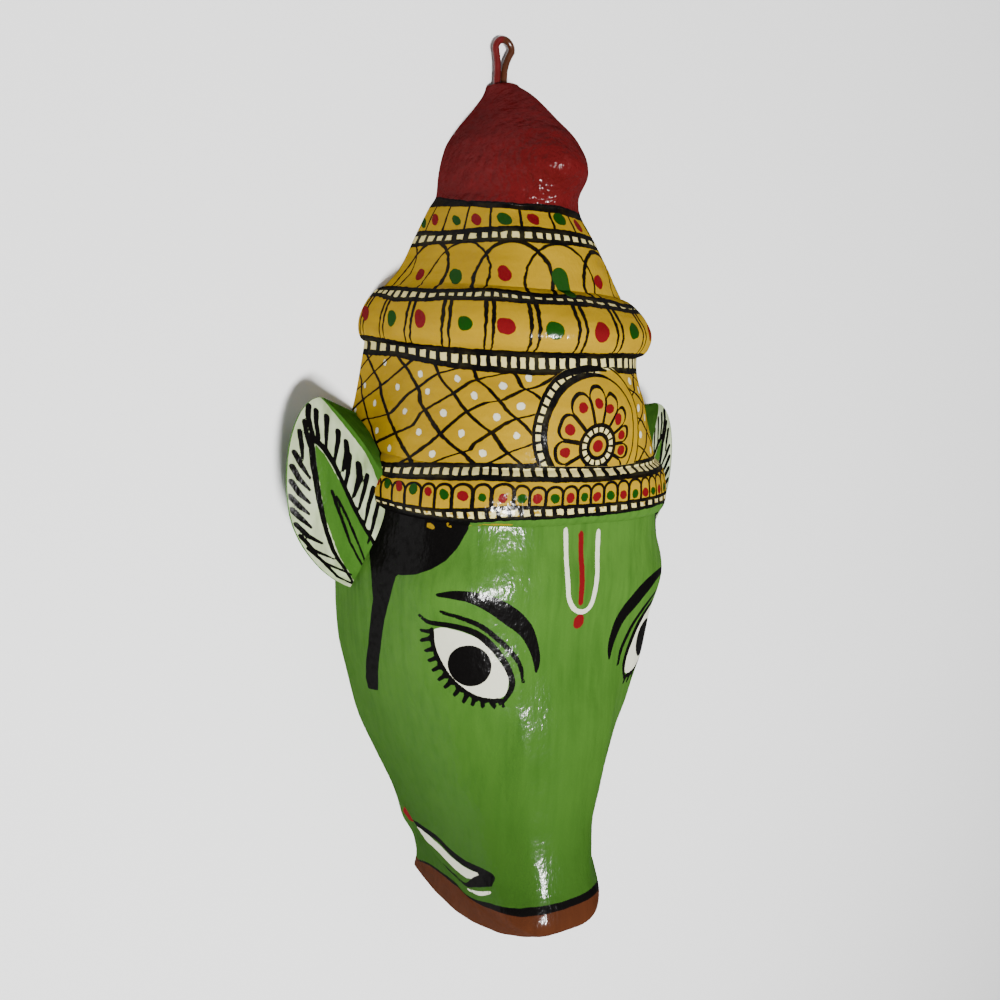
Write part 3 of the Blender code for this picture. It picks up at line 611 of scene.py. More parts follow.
# the painted strokes of an ear: (across from its middle line, along from its root, radius) in millimetres
earInk = [
    [(7.7, 51.7, 0.79), (6.4, 50.2, 0.97), (4.6, 47.5, 0.97), (3.2, 43.4, 0.79), (2.1, 38.1, 0.7),
     (0.9, 32.3, 0.7), (-0.2, 28.0, 0.7), (-1.8, 23.3, 0.62), (-3.4, 20.0, 0.62), (-4.0, 17.3, 0.53),
     (-4.6, 12.9, 0.44)],
    [(7.7, 51.7, 0.79), (8.5, 47.3, 0.97), (9.4, 42.7, 0.97), (9.9, 37.4, 0.97), (10.4, 31.9, 0.88),
     (10.5, 26.4, 0.79), (10.2, 21.6, 0.7), (9.3, 16.2, 0.7), (8.0, 12.8, 0.62), (6.0, 9.5, 0.53),
     (4.3, 6.5, 0.44), (1.8, 2.2, 0.35)],
    [(5.0, 60.6, 0.79), (6.5, 57.4, 0.79), (6.9, 54.1, 0.7), (7.0, 51.9, 0.7)],
    [(3.5, 59.1, 0.79), (4.8, 55.6, 0.7), (5.5, 51.0, 0.62)],
    [(1.0, 57.5, 0.88), (2.3, 53.9, 0.7), (4.2, 48.2, 0.44)],
    [(-1.0, 53.3, 0.88), (-0.2, 50.7, 0.79), (2.7, 44.5, 0.44)],
    [(-2.5, 50.4, 0.79), (-1.8, 47.1, 0.88), (1.1, 41.3, 0.44)],
    [(-2.4, 46.3, 0.79), (-0.4, 40.9, 0.7), (1.3, 37.0, 0.44)],
    [(-4.4, 43.8, 0.97), (-3.7, 39.6, 1.06), (-0.3, 33.5, 0.44)],
    [(-6.3, 40.6, 0.7), (-3.7, 35.0, 0.62), (-0.9, 29.4, 0.35)],
    [(-7.3, 36.8, 0.7), (-4.5, 31.5, 0.7), (-1.8, 24.7, 0.35)],
    [(-7.6, 32.0, 0.62), (-5.5, 27.3, 0.62), (-1.9, 18.4, 0.35)],
    [(8.1, 55.8, 0.71), (8.7, 51.7, 0.71), (9.0, 48.0, 0.44)],
    [(10.4, 52.9, 0.74), (11.1, 48.7, 0.74), (12.0, 44.5, 0.37)],
    [(13.8, 46.5, 0.84), (12.9, 42.5, 0.84), (11.4, 38.6, 0.42)],
    [(15.6, 42.2, 0.93), (14.6, 38.5, 0.93), (12.4, 35.0, 0.47)],
    [(17.0, 37.5, 0.98), (15.6, 33.8, 0.98), (13.4, 31.0, 0.49)],
    [(18.6, 33.0, 0.98), (16.5, 29.9, 0.98), (14.4, 27.5, 0.49)],
    [(19.0, 28.8, 0.98), (17.2, 26.4, 0.98), (14.6, 23.2, 0.49)],
    [(18.8, 24.2, 0.85), (15.8, 20.3, 0.85), (12.0, 17.9, 0.37)],
    [(18.2, 20.4, 0.75), (14.9, 15.7, 0.64), (9.0, 12.6, 0.33)],
    [(16.5, 16.4, 0.61), (11.9, 11.2, 0.51), (3.5, 6.7, 0.31)],
    [(11.5, 10.4, 0.5), (7.5, 5.6, 0.4), (1.8, 2.2, 0.3)],
    [(5.9, 34.8, 0.53), (5.5, 30.2, 0.53), (4.8, 25.5, 0.53), (3.6, 18.5, 0.44), (1.7, 13.4, 0.35),
     (-0.9, 8.3, 0.26)],
    [(4.9, 33.2, 0.44), (3.4, 27.9, 0.44), (2.0, 21.8, 0.44), (0.7, 16.5, 0.35), (-0.7, 11.3, 0.26)],
]
earRim = [(-4.0, -1.0), (5.0, -2.5), (12.0, -4.4), (17.5, -6.6), (21.8, -8.0), (27.0, -9.3), (31.7, -9.9),
          (36.7, -9.5),
          (40.8, -8.8), (43.8, -8.5), (47.4, -7.6), (51.5, -5.5), (56.0, -3.1), (59.9, -1.1), (63.0, 0.4)]
earGreen = [(7.1, 49.5), (8.2, 44.4), (9.0, 38.2), (9.7, 30.4), (9.7, 25.6), (8.9, 20.8), (7.9, 15.4),
            (5.8, 9.9),
            (2.4, 4.3), (1.0, -4.0), (-14.0, -4.0), (-10.0, 6.0), (-6.4, 11.0), (-3.6, 14.9), (-3.1, 20.1),
            (-1.6, 23.3),
            (0.2, 28.0), (1.3, 32.3), (2.4, 37.0), (3.8, 41.4), (5.2, 46.0)]


def strokeField(stroke, x, y, far=3.0):      # distance to a stroke's edge, negative in it
    field = np.full(len(x), far)
    points = np.array(stroke, float)
    margin = far + points[:, 2].max()
    near = (x > points[:, 0].min() - margin) & (x < points[:, 0].max() + margin)
    near &= (y > points[:, 1].min() - margin) & (y < points[:, 1].max() + margin)
    px, py = x[near], y[near]
    best = np.full(len(px), far)
    for (x0, y0, r0), (x1, y1, r1) in zip(points[:-1], points[1:]):
        dx, dy = x1 - x0, y1 - y0
        t = np.clip(((px - x0) * dx + (py - y0) * dy) / (dx * dx + dy * dy + 1e-9), 0, 1)
        best = np.minimum(best, np.hypot(px - x0 - t * dx, py - y0 - t * dy) - (r0 + (r1 - r0) * t))
    field[near] = best
    return field


def smoothStroke(stroke, steps=6):            # a rounded run through the stroke's points
    points = np.array(stroke, float)
    padded = np.concatenate([[2 * points[0] - points[1]], points, [2 * points[-1] - points[-2]]])
    run = [points[0]]
    for a, b, c, d in zip(padded[:-3], padded[1:-2], padded[2:-1], padded[3:]):
        for k in range(1, steps + 1):
            t = k / steps
            bend = (2 * a - 5 * b + 4 * c - d) * t ** 2 + (3 * b - a - 3 * c + d) * t ** 3
            run.append(0.5 * (2 * b + (c - a) * t + bend))
    return run


def patchField(outline, x, y):               # distance to a closed outline, negative inside
    points = np.array(outline, float)
    best = np.full(len(x), 9.0)
    inside = np.zeros(len(x), bool)
    for (x0, y0), (x1, y1) in zip(points, np.roll(points, -1, axis=0)):
        dx, dy = x1 - x0, y1 - y0
        t = np.clip(((x - x0) * dx + (y - y0) * dy) / (dx * dx + dy * dy + 1e-9), 0, 1)
        best = np.minimum(best, np.hypot(x - x0 - t * dx, y - y0 - t * dy))
        cross = ((y0 > y) != (y1 > y)) & (x < x0 + dx * (y - y0) / (dy if dy else 1e-9))
        inside ^= cross
    return np.where(inside, -best, best)


def join(fields):
    return np.minimum.reduce(fields)


def goOn(marks, first, last, before, after):     # marks that go on evenly past both their ends
    return np.concatenate([marks[0] - first * np.arange(before, 0, -1), marks,
                           marks[-1] + last * np.arange(1, after + 1)])


def cellIndex(marks, across, reach=1.3):     # whole numbers on the marks, out to the reach on both sides
    marks = np.array(marks)
    first, last = np.mean(np.diff(marks)[:4]), np.mean(np.diff(marks)[-4:])
    before = int((marks[0] + reach) / first)
    after = int((reach - marks[-1]) / last)
    line = goOn(marks, first, last, before, after)
    return np.interp(across, line, np.arange(len(line)) - before)


def lineIndex(lines, across, share, step):   # whole numbers on wavy lines that lean one way
    side = -np.abs(across)
    places = []
    for line in lines:
        points = sorted((s, a) for a, s in line)
        s = np.array([p[0] for p in points])
        a = np.array([p[1] for p in points])
        lean = (a[-1] - a[0]) / (s[-1] - s[0])
        place = np.interp(share, s, a)
        place = place + lean * (np.minimum(share - s[0], 0) + np.maximum(share - s[-1], 0))
        places.append(place)
    order = np.sort(np.array(places), axis=0)
    first, last = order[0] - step, order[-1] + step
    order = np.concatenate([[first - 2 * step], [first - step], [first], order, [last], [last + step]])
    value = np.zeros(len(side))
    for k in range(len(order) - 1):
        gap = np.maximum(order[k + 1] - order[k], 1e-4)
        value = np.where(side >= order[k], k + np.clip((side - order[k]) / gap, 0, 1), value)
    return value


def blob(rng, x, y, radius, colour):         # one hand-set dot, slightly out of round
    turn = rng.uniform(0, math.pi)
    reach = radius * rng.uniform(0.05, 0.25)
    dx, dy = reach * math.cos(turn), reach * math.sin(turn)
    first = radius * rng.uniform(0.78, 1.0)
    second = radius * rng.uniform(0.7, 0.95)
    return colour, [(x - dx, y - dy, first), (x + dx, y + dy, second)]


def readMap(mesh, key):          # a UV layer's values, one row a corner
    flat = np.zeros(len(mesh.loops) * 2, np.float32)
    mesh.uv_layers[key].data.foreach_get("uv", flat)
    return flat.reshape(-1, 2).astype(float)


def crownFields(across, share, u, v):        # heights over the crown's painted lines, and cell numbers
    fields = {}
    for name, line in bandLines.items():
        fields[name] = (share - np.interp(across, *zip(*line))) * form["height"]
    for name, marks in cellMarks.items():
        fields[name + "Cell"] = cellIndex(marks, across)
    fields["latticeDown"] = lineIndex(latticeDown, across, share, latticeStep["latticeDown"])
    fields["latticeUp"] = lineIndex(latticeUp, across, share, latticeStep["latticeUp"])
    petalAcross = u - rosette["flowerAcross"] * mm
    petalAlong = v - alongAt(rosette["flowerShare"]) * mm
    turn = np.degrees(np.arctan2(petalAlong, petalAcross))
    turn = np.where(turn < -90, turn + 360, turn)
    reach = np.interp(turn, *zip(*petals["reach"]))
    fields["petalCell"] = np.interp(turn, petals["seams"], np.arange(len(petals["seams"])))
    fields["petalEdge"] = (np.hypot(petalAcross, petalAlong) - reach) / mm
    return fields


def paintDots(spot):             # every dot as its colour and a short stroke
    rng = np.random.default_rng(7)
    dots = []
    for band in ("row1", "arches", "ring"):
        places = crownDots[band]
        step = np.mean(np.diff([p[0] for p in places[-4:]]))
        pair = [p[2] for p in places[-2:]]
        more = [(places[-1][0] + step * k, places[-1][1], pair[(k + 1) % 2]) for k in range(1, 12)]
        for a, s, colour in places + [p for p in more if p[0] < 1]:
            dots.append(blob(rng, *spot(a, s), dotRadius[band], colour))
    gaps = np.array(cellMarks["tongues"])
    step = np.mean(np.diff(gaps))
    gaps = goOn(gaps, step, step, 8, 14)
    for k, a in enumerate((gaps[:-1] + gaps[1:]) / 2):
        if abs(a) < 1:
            dots.append(blob(rng, *spot(a, tongueDots), dotRadius["tongues"], "red" if k % 2 else "green"))
    dots.append(("green", [(*spot(a, s), radius) for a, s, radius in wideDot]))
    for a, s in petals["dots"]:
        dots.append(blob(rng, *spot(a, s), dotRadius["petals"], "red"))
    for a, s in latticeDots:
        for hand in (1, -1):
            dots.append(blob(rng, *spot(hand * a, s), dotRadius["lattice"], "white"))
    return dots


def paintFields():               # lays the paint out on the mask's points and gives each face's kind
    mesh = mask.data
    vertex = np.zeros(len(mesh.loops), np.int32)
    mesh.loops.foreach_get("vertex_index", vertex)
    paint = readMap(mesh, "paint")
    kind = np.round(readMap(mesh, "kind")[:, 0]).astype(np.int32)
    start = np.zeros(len(mesh.polygons), np.int32)
    mesh.polygons.foreach_get("loop_start", start)
    head = np.zeros((len(mesh.vertices), 2))
    leaf = np.full((len(mesh.vertices), 2), -90.0)           # far off every stroke of the ears
    onHead, onEar = kind == kinds["outside"][0], kind == kinds["ear"][0]
    head[vertex[onHead]] = paint[onHead]
    leaf[vertex[onEar]] = paint[onEar]
    across, share = head[:, 0], head[:, 1]
    table = np.linspace(0, 1, 500)
    halfArc = [sectionArc(halfWidth(s), frontDepth(s), squareness(s))[2][-1] / 2 * mm for s in table]

    def spot(a, s):              # a place on the head, in millimetres across and along
        return a * float(np.interp(s, table, halfArc)), alongAt(s) * mm

    u = across * np.interp(share, table, halfArc)
    v = alongAt(share) * mm
    left = -np.abs(u)
    fields = {"across": u / mm, "along": v / mm}
    fields.update(crownFields(across, share, u, v))

    # strokes and dots, as distances to their edges in millimetres
    brow, crease, lid, under = [strokeField(smoothStroke(stroke), left, v) for stroke in faceInk[:4]]
    ink = [brow] + [strokeField(smoothStroke(stroke), left, v) for stroke in faceInk[4:] + [lipLine]]
    ink.append(np.maximum(patchField(hair, left, v), fields["strip10Low"] * mm))
    ink.append(strokeField([(*spot(a, s), radius) for a, s, radius in crest], u, v))
    lashes = [strokeField([(*root, lashRadius[0]), (*tip, lashRadius[1])], left, v) for root, tip in lashEnds]
    eyeShape = smoothStroke(eyeWhite + eyeWhite[:1])
    marks = {
        "white": [strokeField(stroke, left, v) for stroke in faceWhite]
                 + [patchField(eyeShape, left, v), strokeField(smoothStroke(tilak), u, v)],
        "red": [strokeField(stroke, u, v) for stroke in tilakRed] + [patchField(mouthRed, left, v)],
        "green": [],
    }
    for colour, stroke in paintDots(spot):
        marks[colour].append(strokeField(stroke, u, v))
    fields.update({colour: join(laid) for colour, laid in marks.items()})
    fields.update(ink=join(ink), crease=crease, lid=lid, lashes=join(lashes + [under]))
    fields["pupil"] = np.hypot((left - pupil["centre"][0]) / pupil["across"],
                               (v - pupil["centre"][1]) / pupil["along"]) * pupil["across"] - pupil["across"]
    fields["brown"] = v - np.interp(left, [p[0] for p in lipLine], [p[1] for p in lipLine])
    fields["yellowLeft"] = join([strokeField(stroke, u, v) for stroke in yellowLeft])

    h, s = leaf[:, 0], leaf[:, 1]
    fields["earInk"] = join([strokeField(stroke, h, s) for stroke in earInk])
    fields["earGreen"] = patchField(earGreen, h, s)
    fields["earWhite"] = h - np.interp(s, *zip(*earRim))
    fields["earAcross"] = h / mm
    for name, values in fields.items():
        layer = mesh.attributes.new(name, "FLOAT", "POINT")
        layer.data.foreach_set("value", values.astype(np.float32))
    for key in ("paint", "kind"):
        mesh.uv_layers.remove(mesh.uv_layers[key])
    return kind[start]


faceKind = paintFields()
print("paint laid out")


class Tone:                      # a socket that adds its nodes as it is reckoned with
    def __init__(self, paint, socket):
        self.paint, self.socket = paint, socket

    def reckon(self, operation, *values):
        return self.paint.node("Math", {"operation": operation}, dict(enumerate(values)))

    def __add__(self, other):
        return self.reckon("ADD", self, other)

    def __radd__(self, other):
        return self.reckon("ADD", other, self)

    def __sub__(self, other):
        return self.reckon("SUBTRACT", self, other)

    def __rsub__(self, other):
        return self.reckon("SUBTRACT", other, self)

    def __mul__(self, other):
        return self.reckon("MULTIPLY", self, other)

    def __rmul__(self, other):
        return self.reckon("MULTIPLY", other, self)

    def __truediv__(self, other):
        return self.reckon("DIVIDE", self, other)

    def __neg__(self):
        return self.reckon("MULTIPLY", self, -1.0)

    def __abs__(self):
        return self.reckon("ABSOLUTE", self)

    def power(self, other):
        return self.reckon("POWER", self, other)

    def least(self, other):
        return self.reckon("MINIMUM", self, other)

    def most(self, other):
        return self.reckon("MAXIMUM", self, other)

    def angle(self, across):     # direction of a place from how far up and how far across it is
        return self.reckon("ARCTAN2", self, across)

    def wave(self):              # distance to the nearest whole number
        return self.reckon("PINGPONG", self, 0.5)

    def step(self, slope, shift):            # a straight slope, cut off at 0 and 1
        return self.paint.node("Math", {"operation": "MULTIPLY_ADD", "use_clamp": True},
                               {0: self, 1: slope, 2: shift})

    def under(self, edge, soft=0.00012):     # 1 below the edge and 0 above it, over a soft edge
        return self.step(-1 / soft, edge / soft + 0.5)

    def over(self, edge, soft=0.00012):      # 0 below the edge and 1 above it
        return self.step(1 / soft, 0.5 - edge / soft)


class Paint:                     # one material and its nodes
    def __init__(self, name):
        self.material = bpy.data.materials.new(name)
        self.material.use_nodes = True
        self.tree = self.material.node_tree
        self.shader = self.tree.nodes["Principled BSDF"]

    def plug(self, socket, value):
        if isinstance(value, Tone):
            self.tree.links.new(value.socket, socket)
        else:
            socket.default_value = value

    def node(self, kind, settings=None, sockets=None, out=0):
        made = self.tree.nodes.new("ShaderNode" + kind)
        for key, value in (settings or {}).items():
            setattr(made, key, value)
        for key, value in (sockets or {}).items():
            self.plug(made.inputs[key], value)
        return Tone(self, made.outputs[out])

    def field(self, name):
        return self.node("Attribute", {"attribute_name": name}, out=2)

    def place(self, stretch=(1, 1, 1)):
        spot = self.node("TexCoord", out=3)
        return self.node("VectorMath", {"operation": "MULTIPLY"}, {0: spot, 1: stretch})

    def noise(self, scale, detail=2.0, stretch=(1, 1, 1), rough=0.5):
        return self.node("TexNoise", None, {"Vector": self.place(stretch), "Scale": scale, "Detail": detail,
                                            "Roughness": rough})

    def lay(self, below, above, mask):       # one colour painted over another where the mask is 1
        return self.node("Mix", {"data_type": "RGBA"}, {0: mask, 6: below, 7: above}, out=2)

    def stroke(self, name, wobble=0.0):      # 1 where a stroke that is kept in millimetres lies
        return (self.field(name) * (1 / mm) + wobble).under(0.0)

    def bump(self, strength, depth, height):
        return self.node("Bump", None, {"Strength": strength, "Distance": depth, "Height": height})

    def feed(self, **links):
        for name, value in links.items():
            self.plug(self.shader.inputs[name.replace("_", " ")], value)

    def film(self, share, rough, normal):    # a clear film that mirrors the same share from every side
        clear = self.node("BsdfPrincipled", None, {"Base Color": (1, 1, 1, 1), "Metallic": 1.0,
                                                   "Roughness": rough, "Normal": normal})
        whole = self.node("MixShader", None, {0: share, 1: Tone(self, self.shader.outputs[0]), 2: clear})
        self.tree.links.new(whole.socket, self.tree.nodes["Material Output"].inputs["Surface"])


colours = {
    "green": (0.040, 0.114, 0.014, 1), "greenDark": (0.022, 0.070, 0.008, 1),
    "greenLight": (0.078, 0.190, 0.028, 1), "greenDeep": (0.017, 0.052, 0.006, 1),
    "dotGreen": (0.006, 0.040, 0.003, 1),
    "yellow": (0.378, 0.232, 0.007, 1), "yellowDark": (0.215, 0.124, 0.005, 1),
    "cream": (0.640, 0.560, 0.230, 1), "white": (0.600, 0.600, 0.470, 1), "red": (0.130, 0.005, 0.007, 1),
    "bulb": (0.056, 0.005, 0.005, 1), "bulbLight": (0.108, 0.007, 0.008, 1),
    "black": (0.003, 0.0027, 0.0026, 1),
    "brown": (0.066, 0.020, 0.008, 1), "brownDark": (0.036, 0.011, 0.005, 1),
    "raw": (0.330, 0.280, 0.190, 1), "rawDark": (0.190, 0.155, 0.100, 1),
    "earWhite": (0.330, 0.410, 0.220, 1), "earGrey": (0.185, 0.240, 0.110, 1),
}
brushed = {                      # two colours, then how grain, patches and a shift blend them
    "green": ("greenDark", "greenLight", 1.1, 0.6, -0.36), "yellow": ("yellowDark", "yellow", 0.9, 0.7, -0.1),
    "bulb": ("bulb", "bulbLight", 0.6, 0.6, -0.1), "brown": ("brownDark", "brown", 0.8, 0.5, 0.0),
}
gloss = {                        # the lacquer: shares of height, noise sizes, bump and shine
    "grain": 0.60, "lump": 0.9, "lumpSize": 260, "pits": 0.75, "pitSize": (760, 420, 760),
    "strength": 0.5, "depth": 0.00044, "roughness": 0.10, "uneven": 0.12, "unevenSize": 120,
    "thin": 0.25, "thickSize": 520, "thickFrom": 0.35, "thickOver": 0.3,
    "headSheen": 0.0042, "earSheen": 0.0002,
    "dentSize": 150, "smallDentSize": 430, "smallDents": 0.45, "dents": 9.0,
}


hand = {                         # the unsteady hand in metres, and how much of it each kind of stroke shows
    "size": 420, "head": 0.0007, "ear": 0.0006, "ink": 0.35, "white": 0.4, "dots": 0.6,
    "rosette": 0.6, "spokes": 200, "flower": 0.5, "petals": 90,
}
grains = {                       # how the brush's grain is drawn out, as noise a metre along each axis
    "head": (420, 36, 420), "crown": (60, 300, 60), "ear": (300, 60, 300),
    "headGloss": (380, 60, 380), "earGloss": (300, 80, 300),
}
cover = {"middleGreen": 0.25, "cream": 0.92, "white": 0.96, "line": 0.96, "yellowLeft": 0.7, "earWhite": 0.3}
deepen = {"from": 0.02, "rate": 7.0, "most": 0.8, "grain": 0.4}      # deeper green toward the muzzle


def brush(paint, name, grain, patches):
    dark, light, grainShare, patchShare, shift = brushed[name]
    return paint.lay(colours[dark], colours[light], grain * grainShare + patches * patchShare + shift)


def lacquer(paint, colour, streak, sheen, dents=0.0):
    # glossy hand-brushed lacquer: brush streaks, small lumps and an uneven shine
    grain = paint.noise(1, 3.0, streak) * gloss["grain"]
    lump = paint.noise(gloss["lumpSize"]) * gloss["lump"]
    pits = paint.noise(1, 2.0, gloss["pitSize"]) * gloss["pits"]
    bump = paint.bump(gloss["strength"], gloss["depth"], grain + lump + pits + dents)
    rough = gloss["roughness"] + paint.noise(gloss["unevenSize"], 3.0) * gloss["uneven"]
    thick = paint.noise(gloss["thickSize"]).over(gloss["thickFrom"], gloss["thickOver"])
    paint.feed(Base_Color=colour, Roughness=rough, Normal=bump, Specular_IOR_Level=0.0)
    paint.film((gloss["thin"] + thick) * sheen, rough, bump)


def mostOf(masks):
    whole = masks[0]
    for mask in masks[1:]:
        whole = whole.most(mask)
    return whole


bandRules = {                    # half widths of the brushed lines along the bands' edges, in metres
    "strip10Low": 0.0006, "strip10Top": 0.0006, "strip8Low": 0.0008, "strip8Top": 0.0007, "strip6Low": 0.0009,
    "strip6Top": 0.0009, "strip4Low": 0.0007, "strip4Top": 0.0007, "strip2Low": 0.0007, "strip2Top": 0.0009,
    "bulbTop": 0.0006, "bulbLow": 0.0006,
}
strips = {                       # half width of the bars in cells, and how far they lean
    "strip10": (0.22, 60), "strip8": (0.20, 0), "strip6": (0.23, 20), "strip4": (0.22, 10),
    "strip2": (0.22, 0),
}
pattern = {                      # half widths of lines in cells, and how far the hand wobbles there
    "cells": {"soft": 0.06, "wobble": 350, "wornSize": 700, "wornFrom": 0.38, "wornOver": 0.12},
    "uprights": {"half": 0.048, "soft": 0.014, "wobble": 120},
    "arches": {"bold": 0.058, "fine": 0.036, "soft": 0.02, "wobble": 60,
               "foot": 0.0042, "height": 0.0114, "reach": 0.345},
    "bars": {"half": 0.022, "soft": 0.016, "wobble": 110,
             "apart": 0.085, "bend": 6.0, "bow": -3.0, "flare": 0.40},
    "lattice": {"half": 0.056, "soft": 0.018, "wobble": 90},
    "tongues": {"half": 0.19, "soft": 0.07, "wobble": 150,
                "radius": 0.95, "height": 0.0023, "sides": 2.2, "top": 2.0},
}


def between(paint, low, top):    # 1 in the band between two painted lines
    return paint.field(low).over(0.0).least(paint.field(top).under(0.0))


def cells(paint, name, wobble, amount):      # distance to the nearest mark of a band's cells
    return (paint.field(name + "Cell") + wobble * amount).wave()


def distance(across, along):
    return (across * across + along * along).power(0.5)


def crownLines(paint, wobble):   # the black lines of the crown's bands, and the cream cells of its strips
    lines = [abs(paint.field(name) + wobble).under(half) for name, half in bandRules.items()]
    lines.append(between(paint, "bulbLow", "bulbTop"))
    cream = []
    look = pattern["cells"]
    for name, (half, lean) in strips.items():            # cream cells between black bars
        inside = between(paint, name + "Low", name + "Top")
        place = paint.field(name + "Cell") + wobble * look["wobble"]
        bar = (place + paint.field(name + "Low") * lean).wave()
        lines.append(inside.least(bar.under(half, look["soft"])))
        cream.append(inside)
    cream[0] = cream[0] * paint.noise(look["wornSize"], 1.0).over(look["wornFrom"], look["wornOver"])

    look = pattern["uprights"]                           # squares with uprights
    upright = cells(paint, "row1", wobble, look["wobble"]).under(look["half"], look["soft"])
    lines.append(between(paint, "strip2Top", "bulbLow").least(upright))

    look = pattern["arches"]                             # overlapping arches, one row bold and one row fine
    arches = between(paint, "strip4Top", "strip2Low")
    rise = (paint.field("strip4Top") - look["foot"]) / look["height"]
    for row in ("bold", "fine"):
        side = (0.5 - cells(paint, row + "Arches", wobble, look["wobble"])) / look["reach"]
        away = distance(side, rise)
        lines.append(arches.least(abs(away - 1.0).under(look[row], look["soft"])))

    look = pattern["bars"]                               # double uprights on the flared ring
    bend = paint.field("strip6Top") * look["bend"]
    bars = (paint.field("ringBarsCell") + wobble * look["wobble"] + bend * bend * look["bow"]).wave()
    double = abs(bars - look["apart"]) - bend * look["flare"]
    lines.append(between(paint, "strip6Top", "strip4Low").least(double.under(look["half"], look["soft"])))

    look = pattern["lattice"]
    net = between(paint, "strip8Top", "strip6Low")
    for name in ("latticeDown", "latticeUp"):
        strand = (paint.field(name) + wobble * look["wobble"]).wave()
        lines.append(net.least(strand.under(look["half"], look["soft"])))
    return mostOf(lines), mostOf(cream)


def tongueLines(paint, wobble):  # tongues round the brow band
    look = pattern["tongues"]
    side = (0.5 - cells(paint, "tongues", wobble, look["wobble"])) * 2
    crest = (paint.field("tongueTop") + look["height"]) / look["height"]
    arch = (side.power(look["sides"]) + crest.most(0.0).power(look["top"])).power(0.5)
    line = abs(arch - look["radius"]).under(look["half"], look["soft"])
    return between(paint, "strip10Top", "strip8Low").least(line)


def rosetteLines(paint, f, wobble):          # the disc over the lattice in front, and what is drawn on it
    r = rosette
    du = f["across"] - r["across"] + wobble * hand["rosette"]
    dv = f["along"] - alongAt(r["share"])
    out = distance(du, dv)
    disc = out.under(r["ring"] + r["rim"]).least(paint.field("strip8Top").over(0.0))
    disc = disc.least(paint.field("strip6Low").under(r["overStrip"]))
    leftSide = du.under(0.0, r["leftOver"])              # the rim is brushed thicker on the left
    rim = disc.least(abs(out - (r["ring"] - r["bandIn"])).under(r["bandHalf"]))
    rim = rim.least(leftSide.over(0.35, 0.2))
    lines = []
    for shift, swelling in r["rimLines"]:
        lines.append(disc.least((abs(out - (r["ring"] + shift)) - leftSide * swelling).under(r["rimHalf"])))
    spokes = (dv.angle(du) * (r["spokes"] / math.tau) + wobble * hand["spokes"]).wave()
    lines.append(rim.least(spokes.under(0.17, 0.07)))

    du = f["across"] - r["flowerAcross"] + wobble * hand["flower"]
    dv = f["along"] - alongAt(r["flowerShare"])
    reach = distance(du, dv)
    seam = (paint.field("petalCell") + wobble * hand["petals"]).wave()
    petalEdge = paint.field("petalEdge") + (1.0 - seam * 2).power(3.0) * r["notch"]
    flower = disc.least(reach.over(r["flowerFrom"]))
    lines.append(flower.least(abs(petalEdge).under(r["petalHalf"])))
    seamLine = (seam * reach).under(r["seamHalf"], r["seamSoft"])
    lines.append(flower.least(petalEdge.under(0.0)).least(seamLine))
    outer, eyelets, inner = [disc.least(reach.under(high)).least(reach.over(low)) for low, high in r["rings"]]
    eyelet = (dv.angle(du) * (r["eyelets"] / math.tau)).wave()
    lines += [outer, eyelets.least(eyelet.under(0.17, 0.08)), inner]
    return disc, mostOf(lines), rim.most(eyelets), disc.least(reach.under(r["heart"]))


def paintHead():
    paint = Paint("painted head")
    f = {name: paint.field(name) for name in ("across", "along")}
    wobble = (paint.noise(hand["size"], 1.0) - 0.5) * hand["head"]
    streaks = paint.noise(1, 3.0, grains["head"])
    patches = paint.noise(38)
    tone = paint.noise(1, 3.0, grains["crown"])

    green = paint.lay(brush(paint, "green", streaks, patches), colours["green"], cover["middleGreen"])
    down = ((-f["along"] - deepen["from"]) * deepen["rate"]).most(0.0).least(deepen["most"])
    green = paint.lay(green, colours["greenDeep"], down + (streaks - 0.5) * deepen["grain"])
    yellow = brush(paint, "yellow", tone, patches)
    onBulb = (paint.field("bulbTop") + wobble).over(0.0)
    colour = paint.lay(green, brush(paint, "brown", streaks, patches), paint.stroke("brown", wobble))
    colour = paint.lay(colour, yellow, (paint.field("strip10Low") + wobble).over(0.0))
    colour = paint.lay(colour, brush(paint, "bulb", tone, patches), onBulb)

    line, cream = crownLines(paint, wobble)
    disc, discLine, discCream, heart = rosetteLines(paint, f, wobble)
    line = mostOf([line * (1.0 - disc), discLine, tongueLines(paint, wobble)])
    worn = paint.noise(160, 3.0, rough=0.6).over(0.35, 0.4)
    inkNames = ("ink", "crease", "lid", "lashes", "pupil")
    ink = mostOf([paint.stroke(name, wobble * hand["ink"]) for name in inkNames])
    colour = paint.lay(colour, colours["cream"], cream.most(discCream) * cover["cream"])
    white = paint.stroke("white", wobble * hand["white"])
    colour = paint.lay(colour, colours["white"], white * cover["white"])
    colour = paint.lay(colour, colours["black"], line * (cover["line"] + worn * (1 - cover["line"])))
    colour = paint.lay(colour, colours["black"], ink)
    colour = paint.lay(colour, yellow, paint.stroke("yellowLeft", wobble) * cover["yellowLeft"])
    colour = paint.lay(colour, colours["dotGreen"], paint.stroke("green", wobble * hand["dots"]))
    colour = paint.lay(colour, colours["red"], paint.stroke("red", wobble * hand["dots"]).most(heart))

    dents = paint.noise(gloss["dentSize"], 3.0) + paint.noise(gloss["smallDentSize"]) * gloss["smallDents"]
    lacquer(paint, colour, grains["headGloss"], gloss["headSheen"], dents * (onBulb * gloss["dents"]))
    return paint.material


